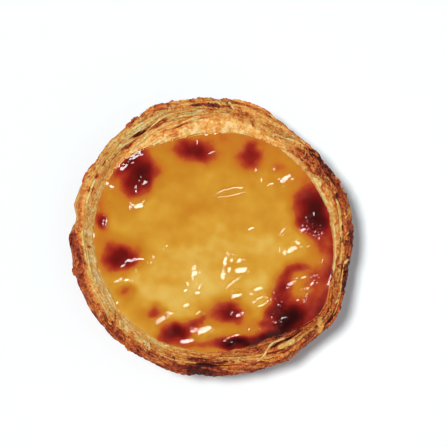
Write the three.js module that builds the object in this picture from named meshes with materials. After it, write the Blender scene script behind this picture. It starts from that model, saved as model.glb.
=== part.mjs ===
// Egg tart: a cup of laminated puff pastry, baked round a set custard whose skin has blistered and browned.
//
// Units are millimetres, +Z is up and -Y is the front. The origin is the middle of the flat base, where the
// tart stands. Angles are in degrees, counter-clockwise from +X seen from above, as turns round the Z axis.

import * as THREE from "three";

const { degToRad, euclideanModulo, lerp, smoothstep } = THREE.MathUtils;

// Driving dimensions of the pastry cup.
const BASE_RADIUS = 24;
const TIN_RADIUS = 34; // the wall where the mouth of the tin was
const TIN_HEIGHT = 19;
const RIM_RADIUS = 37.5; // the widest part, which bulged out over the tin
const RIM_HEIGHT = 22.8; // height of that widest part
const CROWN_HEIGHT = 26.4; // mean height of the rim's top
const BULGE_POWER = 2.2; // how soon the bulge reaches its full width
const SHOULDER_SHARE = 0.42; // share of the rim's top that rounds down to the widest part
const SHOULDER_POWER = 2.1;
const LIP_RADIUS = 31.6; // inner edge of the rim's top
const LIP_DROP = 3.2; // how far the top slopes down to that edge, and past it
const LIP_SLOPE_FROM = 0.45; // where that slope starts and ends, as shares of the top's width
const LIP_SLOPE_TO = 1.1;
const LIP_FOLD = 0.25; // height of the fold below the lip, as a share of the way up from the custard
const WALL_THICKNESS = 3.6;
const WALL_FOLLOW = 0.5; // share of the rim's unevenness that the wall follows
const EDGE_RIPPLE = 0.2; // height or width of the small unevenness along each edge
const FLOOR_THICKNESS = 3;
const FLOOR_ROUNDING = 2; // where the inside of the wall meets the floor
const BASE_ROUNDING = 1.6;

// Driving dimensions of the custard.
const CUSTARD_LEVEL = 21;
const EDGE_RISE = 1.6; // how far its edge stands above its middle
const DISH_POWER = 4; // how late the skin turns up towards its edge
const CUSTARD_TUCK = 0.8; // how far its side falls back below that edge
const CLEARANCE = 0.3; // between the custard and the pastry
const SKIN_SWAY = 0.15; // height of the skin's long, low waves, and their lengths to the right and back
const SKIN_WAVE_X = 4.5;
const SKIN_WAVE_Y = 5.5;
const SKIN_WAVE_SHIFT = 0.8;
const BLISTER_FADE = 8; // how near the edge a blister fades out

// Puff pastry layers: leaves that end side by side in the crown, and the ledges that they make down the wall.
const LEAVES = 5;
const LEAF_LIFT = 0.25; // height that a leaf's outer edge stands up, and how much that varies along it
const LEAF_LIFT_SWAY = 0.4;
const LEAF_FLAKE = 0.25; // height of the flakes along that edge
const LEAF_FALL = 0.5; // share of its height that is left at its inner edge
const LEAF_GROOVE = 0.35; // depth of the groove in front of it, and how much that varies
const LEAF_GROOVE_SWAY = 0.2;
const LEAF_WIDTH = 0.6; // share of its pitch that a leaf fills
const LEAF_EDGE = 0.035; // share of the rim's top over which a leaf's outer edge climbs
const LEAF_SWAY = 0.025; // share of the rim's top by which a leaf wanders in and out
const LEDGES = 5;
const LEDGE_DEPTH = 0.3; // how far a ledge stands out at its top, and how much that varies
const LEDGE_DEPTH_SWAY = 0.2;
const LEDGE_UNDERCUT = 0.15; // how far it goes in at its foot
const LEDGE_SWAY = 0.5; // height by which a ledge wanders up and down

// Grid of both meshes: columns round the tart, and rings across the skin and down the inside of the cup.
const COLUMNS = 120;
const CAVITY_RINGS = [0.75, 0.35];
const SKIN_RINGS = [0.965, 0.91, 0.84, 0.77, 0.7, 0.62, 0.54, 0.45, 0.36, 0.26, 0.14, 0];

// Waves of the small unevenness: how many go round the tart, and how far each seed turns them.
const RIPPLE_WAVES = [
  { count: 5, shift: 1.7 },
  { count: 11, shift: 2.9 },
  { count: 17, shift: 4.3 },
];
const FLAKE_PACE = 3; // how many times finer the flakes are

// Seeds of the small unevenness; those of the layers also count up from the first layer.
const SEED = {
  rim: 9,
  lip: 4,
  climb: 6,
  ledge: 0,
  ledgeDepth: 20,
  groove: 30,
  sway: 40,
  lift: 50,
  flake: 60,
};

// Hand-shaping of the rim. Each entry swells a size by `by` at the angle `at`, and fades out over `reach`.
const OUTLINE_SWELLS = [
  { at: 12, reach: 8, by: 0.7 },
  { at: 31, reach: 7, by: -0.7 },
  { at: 50, reach: 17, by: -2 },
  { at: 90, reach: 10, by: -0.4 },
  { at: 112, reach: 8, by: 0.4 },
  { at: 131, reach: 6, by: -0.6 },
  { at: 147, reach: 7, by: -0.7 },
  { at: 173, reach: 4, by: -1.3 },
  { at: 181, reach: 4, by: 0.3 },
  { at: 240, reach: 7, by: -0.5 },
  { at: 250, reach: 30, by: 0.4 },
  { at: 265, reach: 8, by: -0.4 },
  { at: 305, reach: 14, by: 1.5 },
  { at: 327, reach: 11, by: 2.1 },
  { at: 355, reach: 4, by: 0.5 },
];
const LIP_SWELLS = [
  { at: 47, reach: 22, by: -1.1 },
  { at: 209, reach: 6, by: -0.6 },
  { at: 324, reach: 15, by: 4.2 },
  { at: 350, reach: 18, by: 1.6 },
];
const CROWN_SWELLS = [
  { at: 30, reach: 15, by: 0.5 },
  { at: 62, reach: 14, by: -0.5 },
  { at: 112, reach: 16, by: 0.6 },
  { at: 165, reach: 16, by: -0.4 },
  { at: 222, reach: 8, by: -0.6 },
  { at: 295, reach: 14, by: 0.4 },
  { at: 340, reach: 12, by: -0.4 },
];

// How far the inner face of the rim leans in between the lip and the custard.
const LEAN = 0.35;
const LEAN_SWELLS = [
  { at: 92, reach: 30, by: 3.7 },
  { at: 118, reach: 17, by: 1.5 },
];

// Where the browned skin climbs the rim.
const CLIMB_SWELLS = [
  { at: 135, reach: 15, by: 0.9 },
  { at: 305, reach: 32, by: 1 },
];

// Places where neighbouring leaves have parted, in front of the leaf with that number, counted from outside.
const SPLITS = [
  { at: 122, reach: 14, leaf: 3, depth: 2.2 },
  { at: 101, reach: 9, leaf: 4, depth: 0.9 },
  { at: 75, reach: 9, leaf: 2, depth: 0.8 },
  { at: 10, reach: 9, leaf: 3, depth: 1.3 },
  { at: 345, reach: 15, leaf: 2, depth: 1.3 },
  { at: 307, reach: 12, leaf: 2, depth: 1.6 },
  { at: 292, reach: 12, leaf: 3, depth: 1.2 },
  { at: 271, reach: 10, leaf: 2, depth: 1 },
  { at: 222, reach: 4, leaf: 3, depth: 1.2 },
  { at: 160, reach: 8, leaf: 1, depth: 0.8 },
];

// Blisters in the custard's skin: centre, half-widths and height. They are the parts that browned first.
const BLISTERS = [
  { x: -4.1, y: 23.6, wide: 4.6, deep: 2.6, high: 0.2 },
  { x: 10.2, y: 21.9, wide: 3.2, deep: 3.1, high: 0.2 },
  { x: -18.4, y: 17.5, wide: 3.9, deep: 4.1, high: 0.5 },
  { x: -29, y: 3.7, wide: 1.6, deep: 2, high: 0.25 },
  { x: -24, y: -5, wide: 4.6, deep: 3.5, high: 0.5 },
  { x: -22.3, y: -14.9, wide: 2.4, deep: 1.9, high: 0.2 },
  { x: -14.8, y: -20.4, wide: 2, deep: 1.8, high: 0.25 },
  { x: -9.2, y: -25.4, wide: 4, deep: 2.8, high: 0.4 },
  { x: -3.7, y: -22.8, wide: 3.4, deep: 2.4, high: 0.3 },
  { x: 4.8, y: -20.2, wide: 4.5, deep: 3.3, high: 0.45 },
  { x: 6.3, y: -28.2, wide: 4.6, deep: 1.7, high: 0.3 },
  { x: 20.2, y: -21.8, wide: 5.2, deep: 3.6, high: 0.5 },
  { x: 18.6, y: -14.6, wide: 2.6, deep: 4.6, high: 0.35 },
  { x: 22, y: -8.9, wide: 3.6, deep: 1.8, high: 0.2 },
  { x: 28.2, y: 6.8, wide: 3.4, deep: 6.2, high: 0.45 },
];

const sq = (value) => value * value;

/** The turn from angle b to angle a, from -180 to 180. */
const turnFrom = (a, b) => euclideanModulo(a - b + 180, 360) - 180;

/** A rounded hump of height 1 at the angle `at`. */
const hump = (angle, at, reach) => Math.exp(-sq(turnFrom(angle, at) / reach));

const swelling = (swells, angle) =>
  swells.reduce((sum, { at, reach, by }) => sum + by * hump(angle, at, reach), 0);

/** An uneven wave round the tart, from -1 to 1. Each seed gives another. */
function ripple(angle, seed) {
  const waves = RIPPLE_WAVES.map(({ count, shift }) => Math.sin(count * degToRad(angle) + shift * seed));
  return waves.reduce((sum, wave) => sum + wave, 0) / waves.length;
}

/** A size that swells at some angles and is slightly uneven everywhere. */
const unevenSize = (size, swells, angle, seed) =>
  size + swelling(swells, angle) + EDGE_RIPPLE * ripple(angle, seed);

const rimRadius = (angle) => unevenSize(RIM_RADIUS, OUTLINE_SWELLS, angle, SEED.rim);
const lipRadius = (angle) => unevenSize(LIP_RADIUS, LIP_SWELLS, angle, SEED.lip);
const crownHeight = (angle) => CROWN_HEIGHT + swelling(CROWN_SWELLS, angle);

/** Where the custard meets the pastry: x is the radius and y the height. */
function custardEdge(angle) {
  const lean = LEAN + swelling(LEAN_SWELLS, angle);
  const rise = unevenSize(EDGE_RISE, CLIMB_SWELLS, angle, SEED.climb);
  return new THREE.Vector2(lipRadius(angle) - lean, CUSTARD_LEVEL + rise);
}

/** Radius of the outside of the wall at a height, up to the tin's mouth. */
function wallRadius(angle, height) {
  const mouth = TIN_RADIUS + WALL_FOLLOW * (rimRadius(angle) - RIM_RADIUS);
  return lerp(BASE_RADIUS, mouth, height / TIN_HEIGHT);
}

/** The flat base and the rounding at its edge, from the middle outwards. */
function baseStations() {
  return [
    new THREE.Vector2(0, 0),
    new THREE.Vector2(BASE_RADIUS / 2, 0),
    ...[0, 45].map((turn) => {
      const inset = BASE_ROUNDING * (1 - Math.sin(degToRad(turn)));
      return new THREE.Vector2(BASE_RADIUS - inset, BASE_ROUNDING * (1 - Math.cos(degToRad(turn))));
    }),
  ];
}

/** The outside of the wall: each layer of pastry ends in a low ledge above the next one down. */
function wallStations(angle) {
  return Array.from({ length: 2 * LEDGES }, (_, station) => {
    const ledge = Math.floor(station / 2);
    const sway = LEDGE_SWAY * ripple(angle, SEED.ledge + ledge);
    const height = lerp(BASE_ROUNDING, TIN_HEIGHT, station / (2 * LEDGES - 1)) + sway;
    const depth = LEDGE_DEPTH + LEDGE_DEPTH_SWAY * ripple(angle, SEED.ledgeDepth + ledge);
    const outwards = station % 2 ? depth : -LEDGE_UNDERCUT;
    return new THREE.Vector2(wallRadius(angle, height) + outwards, height);
  });
}

/** The underside of the bulge that rose over the tin's mouth. */
function bulgeStations(angle) {
  const mouth = wallRadius(angle, TIN_HEIGHT);
  return [1 / 3, 2 / 3, 1].map((climb) => {
    const out = 1 - Math.pow(1 - climb, BULGE_POWER);
    return new THREE.Vector2(lerp(mouth, rimRadius(angle), out), lerp(TIN_HEIGHT, RIM_HEIGHT, climb));
  });
}

/** Point of the rim's smooth top at a share of the way from its widest part, 0, to its lip, 1. */
function crownPoint(angle, share) {
  const crown = crownHeight(angle);
  const shoulder = (crown - RIM_HEIGHT) * Math.pow(Math.max(0, 1 - share / SHOULDER_SHARE), SHOULDER_POWER);
  const lip = LIP_DROP * smoothstep(share, LIP_SLOPE_FROM, LIP_SLOPE_TO);
  return new THREE.Vector2(lerp(rimRadius(angle), lipRadius(angle), share), crown - shoulder - lip);
}

/** How deep the groove in front of a leaf is at an angle. */
function grooveDepth(angle, leaf) {
  const parted = SPLITS.filter((split) => split.leaf === leaf);
  const split = parted.reduce((sum, { at, reach, depth }) => sum + depth * hump(angle, at, reach), 0);
  return LEAF_GROOVE + LEAF_GROOVE_SWAY * ripple(angle, SEED.groove + leaf) + split;
}

/** How far the outer edge of a leaf stands up at an angle. */
function leafLift(angle, leaf) {
  const wave = LEAF_LIFT_SWAY * ripple(angle, SEED.lift + leaf);
  return LEAF_LIFT + wave + LEAF_FLAKE * ripple(FLAKE_PACE * angle, SEED.flake + leaf);
}

/** The leaves of the crown: each has the foot of its groove, its outer edge and its inner edge. */
function crownStations(angle) {
  const stations = [];
  for (let leaf = 0; leaf < LEAVES; leaf++) {
    const outer = (leaf + 0.5 - LEAF_WIDTH / 2) / LEAVES + LEAF_SWAY * ripple(angle, SEED.sway + leaf);
    const inner = outer + LEAF_WIDTH / LEAVES;
    const lift = leafLift(angle, leaf);
    const foot = crownPoint(angle, outer - LEAF_EDGE / 2);
    const outerEdge = crownPoint(angle, outer + LEAF_EDGE / 2);
    const innerEdge = crownPoint(angle, inner);
    foot.y -= grooveDepth(angle, leaf);
    outerEdge.y += lift;
    innerEdge.y += LEAF_FALL * lift;
    stations.push(foot, outerEdge, innerEdge);
  }
  stations.push(crownPoint(angle, 1));
  return stations;
}

/** The inside of the cup from the custard's edge down to the middle of its floor. */
function cavityStations(angle, gap = 0) {
  const edge = custardEdge(angle);
  const inside = (height) => Math.min(edge.x - CUSTARD_TUCK, wallRadius(angle, height) - WALL_THICKNESS);
  const heights = CAVITY_RINGS.map((share) => lerp(FLOOR_THICKNESS, CUSTARD_LEVEL, share));
  heights.push(FLOOR_THICKNESS + FLOOR_ROUNDING);
  const floor = FLOOR_THICKNESS + gap;
  return [
    new THREE.Vector2(edge.x - gap, edge.y),
    ...heights.map((height) => new THREE.Vector2(inside(height) - gap, height)),
    new THREE.Vector2(inside(FLOOR_THICKNESS) - FLOOR_ROUNDING - gap, floor),
    new THREE.Vector2(0, floor),
  ];
}

/** The inner face of the rim, down to just above the custard. */
function lipStations(angle) {
  const foot = custardEdge(angle);
  return [foot.lerp(crownPoint(angle, 1), LIP_FOLD)];
}

const pastrySection = (angle) => [
  ...baseStations(),
  ...wallStations(angle),
  ...bulgeStations(angle),
  ...crownStations(angle),
  ...lipStations(angle),
  ...cavityStations(angle),
];

/** Height that the blisters add to the custard's skin. */
const blistering = (x, y) =>
  BLISTERS.reduce((sum, b) => sum + b.high * Math.exp(-sq((x - b.x) / b.wide) - sq((y - b.y) / b.deep)), 0);

/** A point of the custard's skin, at a share of the way from its middle, 0, to its edge, 1. */
function skinPoint(angle, share) {
  const edge = custardEdge(angle);
  const radius = share * (edge.x - CLEARANCE);
  const x = radius * Math.cos(degToRad(angle));
  const y = radius * Math.sin(degToRad(angle));
  const dish = (edge.y - CUSTARD_LEVEL) * Math.pow(share, DISH_POWER);
  const sway = SKIN_SWAY * Math.sin(x / SKIN_WAVE_X + SKIN_WAVE_SHIFT) * Math.sin(y / SKIN_WAVE_Y);
  const inside = 1 - Math.pow(share, BLISTER_FADE);
  return new THREE.Vector2(radius, CUSTARD_LEVEL + dish + inside * (sway + blistering(x, y)));
}

const custardSection = (angle) => [
  ...cavityStations(angle, CLEARANCE).reverse(),
  ...SKIN_RINGS.map((share) => skinPoint(angle, share)),
];

/** A closed body of revolution whose section, from axis to axis, changes with the angle. */
function sculptedLathe(sectionAt) {
  const geometry = new THREE.LatheGeometry(sectionAt(0), COLUMNS);
  const position = geometry.getAttribute("position");
  for (let column = 0; column <= COLUMNS; column++) {
    const angle = (360 * (column % COLUMNS)) / COLUMNS;
    const section = sectionAt(angle);
    section.forEach((point, station) => {
      const x = point.x * Math.cos(degToRad(angle));
      const y = point.x * Math.sin(degToRad(angle));
      position.setXYZ(column * section.length + station, x, y, point.y);
    });
  }
  geometry.computeVertexNormals();
  return geometry;
}

function namedMesh(name, geometry, finish) {
  const mesh = new THREE.Mesh(geometry, new THREE.MeshStandardMaterial({ metalness: 0, ...finish }));
  mesh.name = name;
  return mesh;
}

const tart = new THREE.Group();
tart.name = "egg_tart";
tart.add(
  namedMesh("pastry_cup", sculptedLathe(pastrySection), { color: "#c98a4b", roughness: 0.65 }),
  namedMesh("custard", sculptedLathe(custardSection), { color: "#dba137", roughness: 0.2 }),
);

export default tart;
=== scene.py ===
"""Egg tart: a cup of flaky puff pastry round a glossy, blistered custard.

Sizes are in millimetres and angles in degrees, counter-clockwise from +X seen from above, unless a
name says otherwise. A mesh is sculpted in millimetres and written in metres. A share counts across
the rim as seen from above, from 0 on the widest line to 1 on the lip round the custard.
"""

import itertools
import logging
import math
from collections.abc import Callable, Iterable
from dataclasses import dataclass, field
from enum import Enum
from typing import ClassVar, Protocol

import bmesh
import bpy
import numpy as np
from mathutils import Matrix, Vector


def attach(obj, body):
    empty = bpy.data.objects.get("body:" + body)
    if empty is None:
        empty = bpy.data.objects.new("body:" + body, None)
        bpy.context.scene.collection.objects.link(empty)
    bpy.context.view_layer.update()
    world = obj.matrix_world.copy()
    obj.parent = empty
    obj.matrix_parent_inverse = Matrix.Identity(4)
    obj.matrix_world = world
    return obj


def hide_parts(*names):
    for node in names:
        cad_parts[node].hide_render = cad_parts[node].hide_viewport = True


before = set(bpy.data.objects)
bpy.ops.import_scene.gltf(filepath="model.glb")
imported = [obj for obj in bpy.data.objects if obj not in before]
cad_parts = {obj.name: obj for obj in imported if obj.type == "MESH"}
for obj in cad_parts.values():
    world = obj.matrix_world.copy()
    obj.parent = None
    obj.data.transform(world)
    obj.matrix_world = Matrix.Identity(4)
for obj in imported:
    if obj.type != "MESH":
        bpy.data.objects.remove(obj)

Array = np.ndarray
Colour = tuple[float, float, float]
Surface = Callable[[Array, Array], Array]

LOG = logging.getLogger("egg_tart")
MM = 0.001
WELD = 1e-7


class Slot(Enum):
    """Material slots of the record."""

    PASTRY = "pastry"
    CUSTARD = "custard"


class Node(Enum):
    """Solids of the frame."""

    CUP = "pastry_cup"
    CUSTARD = "custard"


class Mark(Enum):
    """Values that the sculpting leaves on a mesh for its finish to read."""

    # Browning of the pastry, with painted shade in gaps, cracks and splits and painted highlights near leaf
    # edges.
    BROWNING_AND_PAINTED_LIGHT = "browning"
    # How dark the custard is, with paler spots of painted sheen round the highlights and a paler front that
    # partly stands for sheen.
    SCORCH_AND_PAINTED_SHEEN = "scorch"


def smoothstep(low: float, high: float, value: Array) -> Array:
    """Eases from 0 at `low` to 1 at `high`."""
    share = np.clip((value - low) / (high - low), 0, 1)
    return share * share * (3 - 2 * share)


def lerp(low: Array, high: Array, share: Array) -> Array:
    """Goes straight from `low` to `high`."""
    return low + (high - low) * share


def fade(distance: Array, reach: float = 1, power: float = 2) -> Array:
    """Fades from 1 at no distance to 0 past `reach`, the more suddenly the higher the power."""
    return np.exp(-((distance / reach) ** power))


def turn_from(angle: Array, other: float) -> Array:
    """The turn from `other` to `angle`, from -180 to 180."""
    return (angle - other + 180) % 360 - 180


def full_turn(steps: int) -> Array:
    """Angles once round in equal steps, as an array of one item a row."""
    return np.linspace(0, 360, steps, endpoint=False)[:, None]


class Noise:
    """A smooth random field of three coordinates, from about -1 to 1, the same on every run."""

    SIZE = 256
    GAIN = 1.6

    def __init__(self, seed: int) -> None:
        """Draws the slopes of the field.

        Args:
            seed: Each seed gives another field.
        """
        draw = np.random.default_rng(seed)
        self._order = draw.permutation(self.SIZE)
        slopes = draw.normal(size=(self.SIZE, 3))
        self._slopes = slopes / np.linalg.norm(slopes, axis=1, keepdims=True)

    def __call__(self, x: Array, y: Array | float, z: Array | float) -> Array:
        """Reads the field.

        Args:
            x: First coordinate, one feature to each whole number.
            y: Second coordinate.
            z: Third coordinate.

        Returns:
            The field's value at each point.
        """
        points = np.stack(np.broadcast_arrays(x, y, z), axis=-1)
        cell = np.floor(points).astype(int)
        inside = points - cell
        ease = inside**3 * (inside * (6 * inside - 15) + 10)
        value = np.zeros(points.shape[:-1])
        last = self.SIZE - 1
        for corner in itertools.product((0, 1), repeat=3):
            a, b, c = np.moveaxis((cell + corner) & last, -1, 0)
            pick = self._order[(self._order[(self._order[a] + b) & last] + c) & last]
            weight = np.prod(np.where(corner, ease, 1 - ease), axis=-1)
            value += weight * np.sum(self._slopes[pick] * (inside - corner), axis=-1)
        return self.GAIN * value

    def round_tart(self, angle: Array, lobes: float, across: Array) -> Array:
        """Reads the field on a ring.

        Args:
            angle: Angles round the tart.
            lobes: About how many features there are in one radian.
            across: Third coordinate, one feature to each whole number.

        Returns:
            The field's value at each point, which closes on itself round the tart.
        """
        turn = np.radians(angle)
        return self(lobes * np.cos(turn), lobes * np.sin(turn), across)


class Part(Protocol):
    """Something that adds to a height or to a tone."""

    def over(self, *places: Array) -> Array:
        """What it adds at each place."""


def total(parts: Iterable[Part], *places: Array, start: float | Array = 0) -> Array:
    """Adds up what several parts give.

    Args:
        parts: The parts.
        *places: What each part reads: angles, shares or coordinates.
        start: What the sum starts from.

    Returns:
        The sum at each place.
    """
    return sum((part.over(*places) for part in parts), start)


@dataclass(frozen=True)
class Grain:
    """One scale of unevenness, alike in all directions.

    Attributes:
        seed: Number of its random field.
        pitch: Distance between neighbouring features.
        by: Its strength.
    """

    seed: int
    pitch: float
    by: float = 1

    def over(self, x: Array, y: Array, z: Array | None = None) -> Array:
        """Works out what it adds.

        Args:
            x: Places to the right.
            y: Places to the back.
            z: Heights, or nothing where the same goes for all heights.

        Returns:
            What it adds at each place.
        """
        level = 0.5 if z is None else z / self.pitch
        return self.by * Noise(self.seed)(x / self.pitch, y / self.pitch, level)


def warp(x: Array, y: Array, grains: tuple[Grain, Grain]) -> tuple[Array, Array]:
    """Shifts each place to the right by the first grain and to the back by the second."""
    return x + grains[0].over(x, y), y + grains[1].over(x, y)


@dataclass(frozen=True)
class Streak:
    """One scale of unevenness in streaks that run round the tart.

    Attributes:
        seed: Number of its random field.
        lobes: About how many features there are in one radian.
        rows: How many streaks there are from one whole number across to the next.
        by: Its strength.
    """

    seed: int
    lobes: float
    rows: float
    by: float = 1

    def over(self, angle: Array, across: Array) -> Array:
        """What it adds at each angle and place across."""
        return self.by * Noise(self.seed).round_tart(angle, self.lobes, self.rows * across)


class Cells:
    """Irregular cells lying side by side round the tart, like flakes, the same on every run."""

    ROWS = 64

    def __init__(self, seed: int, around: int) -> None:
        """Draws the cells.

        Args:
            seed: Each seed gives other cells.
            around: How many there are in one turn.
        """
        draw = np.random.default_rng(seed)
        self.around = around
        self._middles = draw.uniform(0.1, 0.9, size=(around, self.ROWS, 2))
        self._values = draw.uniform(-1, 1, size=(around, self.ROWS))

    def __call__(self, angle: Array, across: Array) -> tuple[Array, Array]:
        """Finds the cell at each point.

        Args:
            angle: Angles round the tart.
            across: Second coordinate, one cell to each whole number.

        Returns:
            The cell's own value, from -1 to 1, and the distance from its border, from 0.
        """
        along = (angle % 360) / 360 * self.around
        column, row = np.floor(along).astype(int), np.floor(across).astype(int)
        nearest = np.full(across.shape, np.inf)
        second = nearest
        value = np.zeros(across.shape)
        for step in itertools.product((-1, 0, 1), repeat=2):
            cell = (column + step[0]) % self.around, (row + step[1]) % self.ROWS
            middle = self._middles[cell]
            distance = 0.5 * (along - column - step[0] - middle[..., 0]) ** 2
            distance = distance + (across - row - step[1] - middle[..., 1]) ** 2
            closer = distance < nearest
            second = np.where(closer, nearest, np.minimum(second, distance))
            value = np.where(closer, self._values[cell], value)
            nearest = np.minimum(nearest, distance)
        return value, np.sqrt(second) - np.sqrt(nearest)


@dataclass(frozen=True)
class Swell:
    """A rounded change of some size, centred on one angle of the tart.

    Attributes:
        at: Angle of its middle.
        reach: Angle over which it fades out.
        by: The change at its middle.
    """

    at: float
    reach: float
    by: float

    def over(self, angle: Array) -> Array:
        """The change at each angle."""
        return self.by * fade(turn_from(angle, self.at), self.reach)


@dataclass(frozen=True)
class Zone:
    """How strongly a character of the pastry shows round the tart, from 0 to 1.

    Attributes:
        base: How strongly it shows everywhere.
        swells: Where it shows more, or less.
    """

    base: float
    swells: tuple[Swell, ...]

    def over(self, angle: Array) -> Array:
        """How strongly it shows at each angle."""
        return np.clip(self.base + total(self.swells, angle), 0, 1)


def ripple(angle: Array, seed: float) -> Array:
    """An uneven wave round the tart.

    Args:
        angle: Angles round the tart.
        seed: Each seed gives another wave.

    Returns:
        Its height at each angle, from -1 to 1.
    """
    turn = np.radians(angle)
    waves = ((5, 1.7), (11, 2.9), (17, 4.3))
    return sum(np.sin(count * turn + shift * seed) for count, shift in waves) / len(waves)


@dataclass(frozen=True)
class TartForm:
    """The main form, which the cup and the custard share."""

    base_radius: float = 24
    base_rounding: float = 1.6
    tin_radius: float = 34
    tin_height: float = 19
    tin_follow: float = 0.5
    rim_radius: float = 37.5
    rim_height: float = 22.8
    rim_ripple: float = 0.2
    crown_height: float = 26.4
    shoulder_share: float = 0.42
    shoulder_roundness: float = 2.1
    lip_radius: float = 31.6
    lip_drop: float = 3.2
    lip_shares: tuple[float, float] = (0.45, 1.1)
    wall_thickness: float = 3.6
    floor_thickness: float = 3
    custard_level: float = 21
    edge_rise: float = 1.6
    lean: float = 0.35
    outline_swells: tuple[Swell, ...] = (
        Swell(12, 8, 0.7),
        Swell(31, 7, -0.7),
        Swell(50, 17, -2),
        Swell(90, 10, -0.4),
        Swell(112, 8, 0.4),
        Swell(131, 6, -0.6),
        Swell(147, 7, -0.7),
        Swell(173, 4, -1.3),
        Swell(181, 4, 0.3),
        Swell(240, 7, -0.5),
        Swell(250, 30, 0.4),
        Swell(265, 8, -0.4),
        Swell(305, 14, 1.5),
        Swell(327, 11, 2.1),
        Swell(355, 4, 0.5),
    )
    lip_swells: tuple[Swell, ...] = (
        Swell(47, 22, -1.1),
        Swell(209, 6, -0.6),
        Swell(324, 15, 4.2),
        Swell(350, 18, 1.6),
    )
    crown_swells: tuple[Swell, ...] = (
        Swell(30, 15, 0.5),
        Swell(62, 14, -0.5),
        Swell(112, 16, 0.6),
        Swell(165, 16, -0.4),
        Swell(222, 8, -0.6),
        Swell(295, 14, 0.4),
        Swell(340, 12, -0.4),
    )
    lean_swells: tuple[Swell, ...] = (Swell(92, 30, 3.7), Swell(118, 17, 1.5))
    climb_swells: tuple[Swell, ...] = (Swell(135, 15, 0.9), Swell(305, 32, 1.0))

    def rim(self, angle: Array) -> Array:
        """Radius of the widest part."""
        return self.rim_radius + total(self.outline_swells, angle) + self.rim_ripple * ripple(angle, 9)

    def lip(self, angle: Array) -> Array:
        """Radius of the inner edge of the rim's top."""
        return self.lip_radius + total(self.lip_swells, angle) + self.rim_ripple * ripple(angle, 4)

    def custard_edge(self, angle: Array) -> tuple[Array, Array]:
        """The line where the custard meets the pastry.

        Args:
            angle: Angles round the tart.

        Returns:
            Radius and height.
        """
        lean = self.lean + total(self.lean_swells, angle)
        rise = self.edge_rise + total(self.climb_swells, angle) + self.rim_ripple * ripple(angle, 6)
        return self.lip(angle) - lean, self.custard_level + rise

    def wall(self, angle: Array, height: Array) -> Array:
        """Radius of the outside of the wall at a height up to the tin's mouth."""
        mouth = self.tin_radius + self.tin_follow * (self.rim(angle) - self.rim_radius)
        return lerp(self.base_radius, mouth, height / self.tin_height)

    def crown(self, angle: Array, share: Array) -> tuple[Array, Array]:
        """The rim's top.

        Args:
            angle: Angles round the tart.
            share: Shares of the way across the rim.

        Returns:
            Radius and height.
        """
        top = self.crown_height + total(self.crown_swells, angle)
        slope = np.maximum(0, 1 - share / self.shoulder_share) ** self.shoulder_roundness
        shoulder = (top - self.rim_height) * slope
        lip = self.lip_drop * smoothstep(*self.lip_shares, share)
        return lerp(self.rim(angle), self.lip(angle), share), top - shoulder - lip


@dataclass
class Shell:
    """A sheet of points that rolls up into a closed shell, from a pole at its first ring to one at its last.

    Attributes:
        points: Places by column, ring and coordinate.
        values: A value for each column and ring.
        mark: What the values mean.
    """

    points: Array
    values: Array
    mark: Mark

    def mesh(self) -> bpy.types.Mesh:
        """Makes a grid and moves each of its points to its place.

        Returns:
            The mesh, whose first and last columns meet and aren't welded yet.
        """
        columns, rings = self.points.shape[:2]
        bm = bmesh.new()
        bmesh.ops.create_grid(bm, x_segments=columns, y_segments=rings - 1, size=0.5)
        mesh = bpy.data.meshes.new("shell")
        bm.to_mesh(mesh)
        bm.free()
        sheet = np.empty(3 * len(mesh.vertices))
        mesh.vertices.foreach_get("co", sheet)
        column = np.rint((sheet[0::3] + 0.5) * columns).astype(int) % columns
        ring = np.rint((sheet[1::3] + 0.5) * (rings - 1)).astype(int)
        mesh.vertices.foreach_set("co", (MM * self.points[column, ring]).ravel())
        layer = mesh.attributes.new(self.mark.value, "FLOAT", "POINT")
        layer.data.foreach_set("value", self.values[column, ring].astype(np.float32))
        return mesh


def piece_of(name: str, shells: list[Shell]) -> bpy.types.Object:
    """Makes one piece of closed shells, with its faces pointing outwards.

    Args:
        name: The piece's name.
        shells: What it is made of.

    Returns:
        The piece, in the scene.
    """
    bm = bmesh.new()
    for shell in shells:
        part = shell.mesh()
        bm.from_mesh(part)
        bpy.data.meshes.remove(part)
    bmesh.ops.remove_doubles(bm, verts=bm.verts, dist=WELD)
    bmesh.ops.recalc_face_normals(bm, faces=bm.faces)
    mesh = bpy.data.meshes.new(name)
    bm.to_mesh(mesh)
    bm.free()
    mesh.polygons.foreach_set("use_smooth", [True] * len(mesh.polygons))
    piece = bpy.data.objects.new(name, mesh)
    bpy.context.scene.collection.objects.link(piece)
    return piece


@dataclass
class Grid:
    """Rings and columns of points, each array with one row to a column and one item to a ring."""

    radius: Array
    height: Array
    angle: Array

    @classmethod
    def joined(cls, angle: Array, stretches: list[tuple[Array | float, Array | float]]) -> "Grid":
        """Joins stretches of rings, one after another.

        Args:
            angle: The angle of each column, as an array of one item a row.
            stretches: Radius and height of each stretch: a number, a row of rings, or rows and rings.

        Returns:
            The whole grid.
        """
        whole = [np.broadcast_arrays(np.atleast_2d(r), np.atleast_2d(z), angle) for r, z in stretches]
        return cls(*(np.concatenate(arrays, axis=1) for arrays in zip(*whole)))

    @property
    def points(self) -> Array:
        """Coordinates of every point."""
        turn = np.radians(self.angle)
        return np.stack((self.radius * np.cos(turn), self.radius * np.sin(turn), self.height), axis=-1)

    def normals(self) -> Array:
        """Works out the directions straight out of the surface.

        Returns:
            A direction of length 1 for each point.
        """
        points = self.points
        around = np.roll(points, -1, axis=0) - np.roll(points, 1, axis=0)
        across = np.gradient(points, axis=1)
        normal = np.cross(around, across)
        length = np.linalg.norm(normal, axis=-1, keepdims=True)
        return normal / np.maximum(length, 1e-9)

    def run(self) -> Array:
        """Length of the section from its first ring to each ring."""
        steps = np.hypot(np.diff(self.radius, axis=1), np.diff(self.height, axis=1))
        return np.concatenate((np.zeros((len(steps), 1)), np.cumsum(steps, axis=1)), axis=1)


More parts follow.
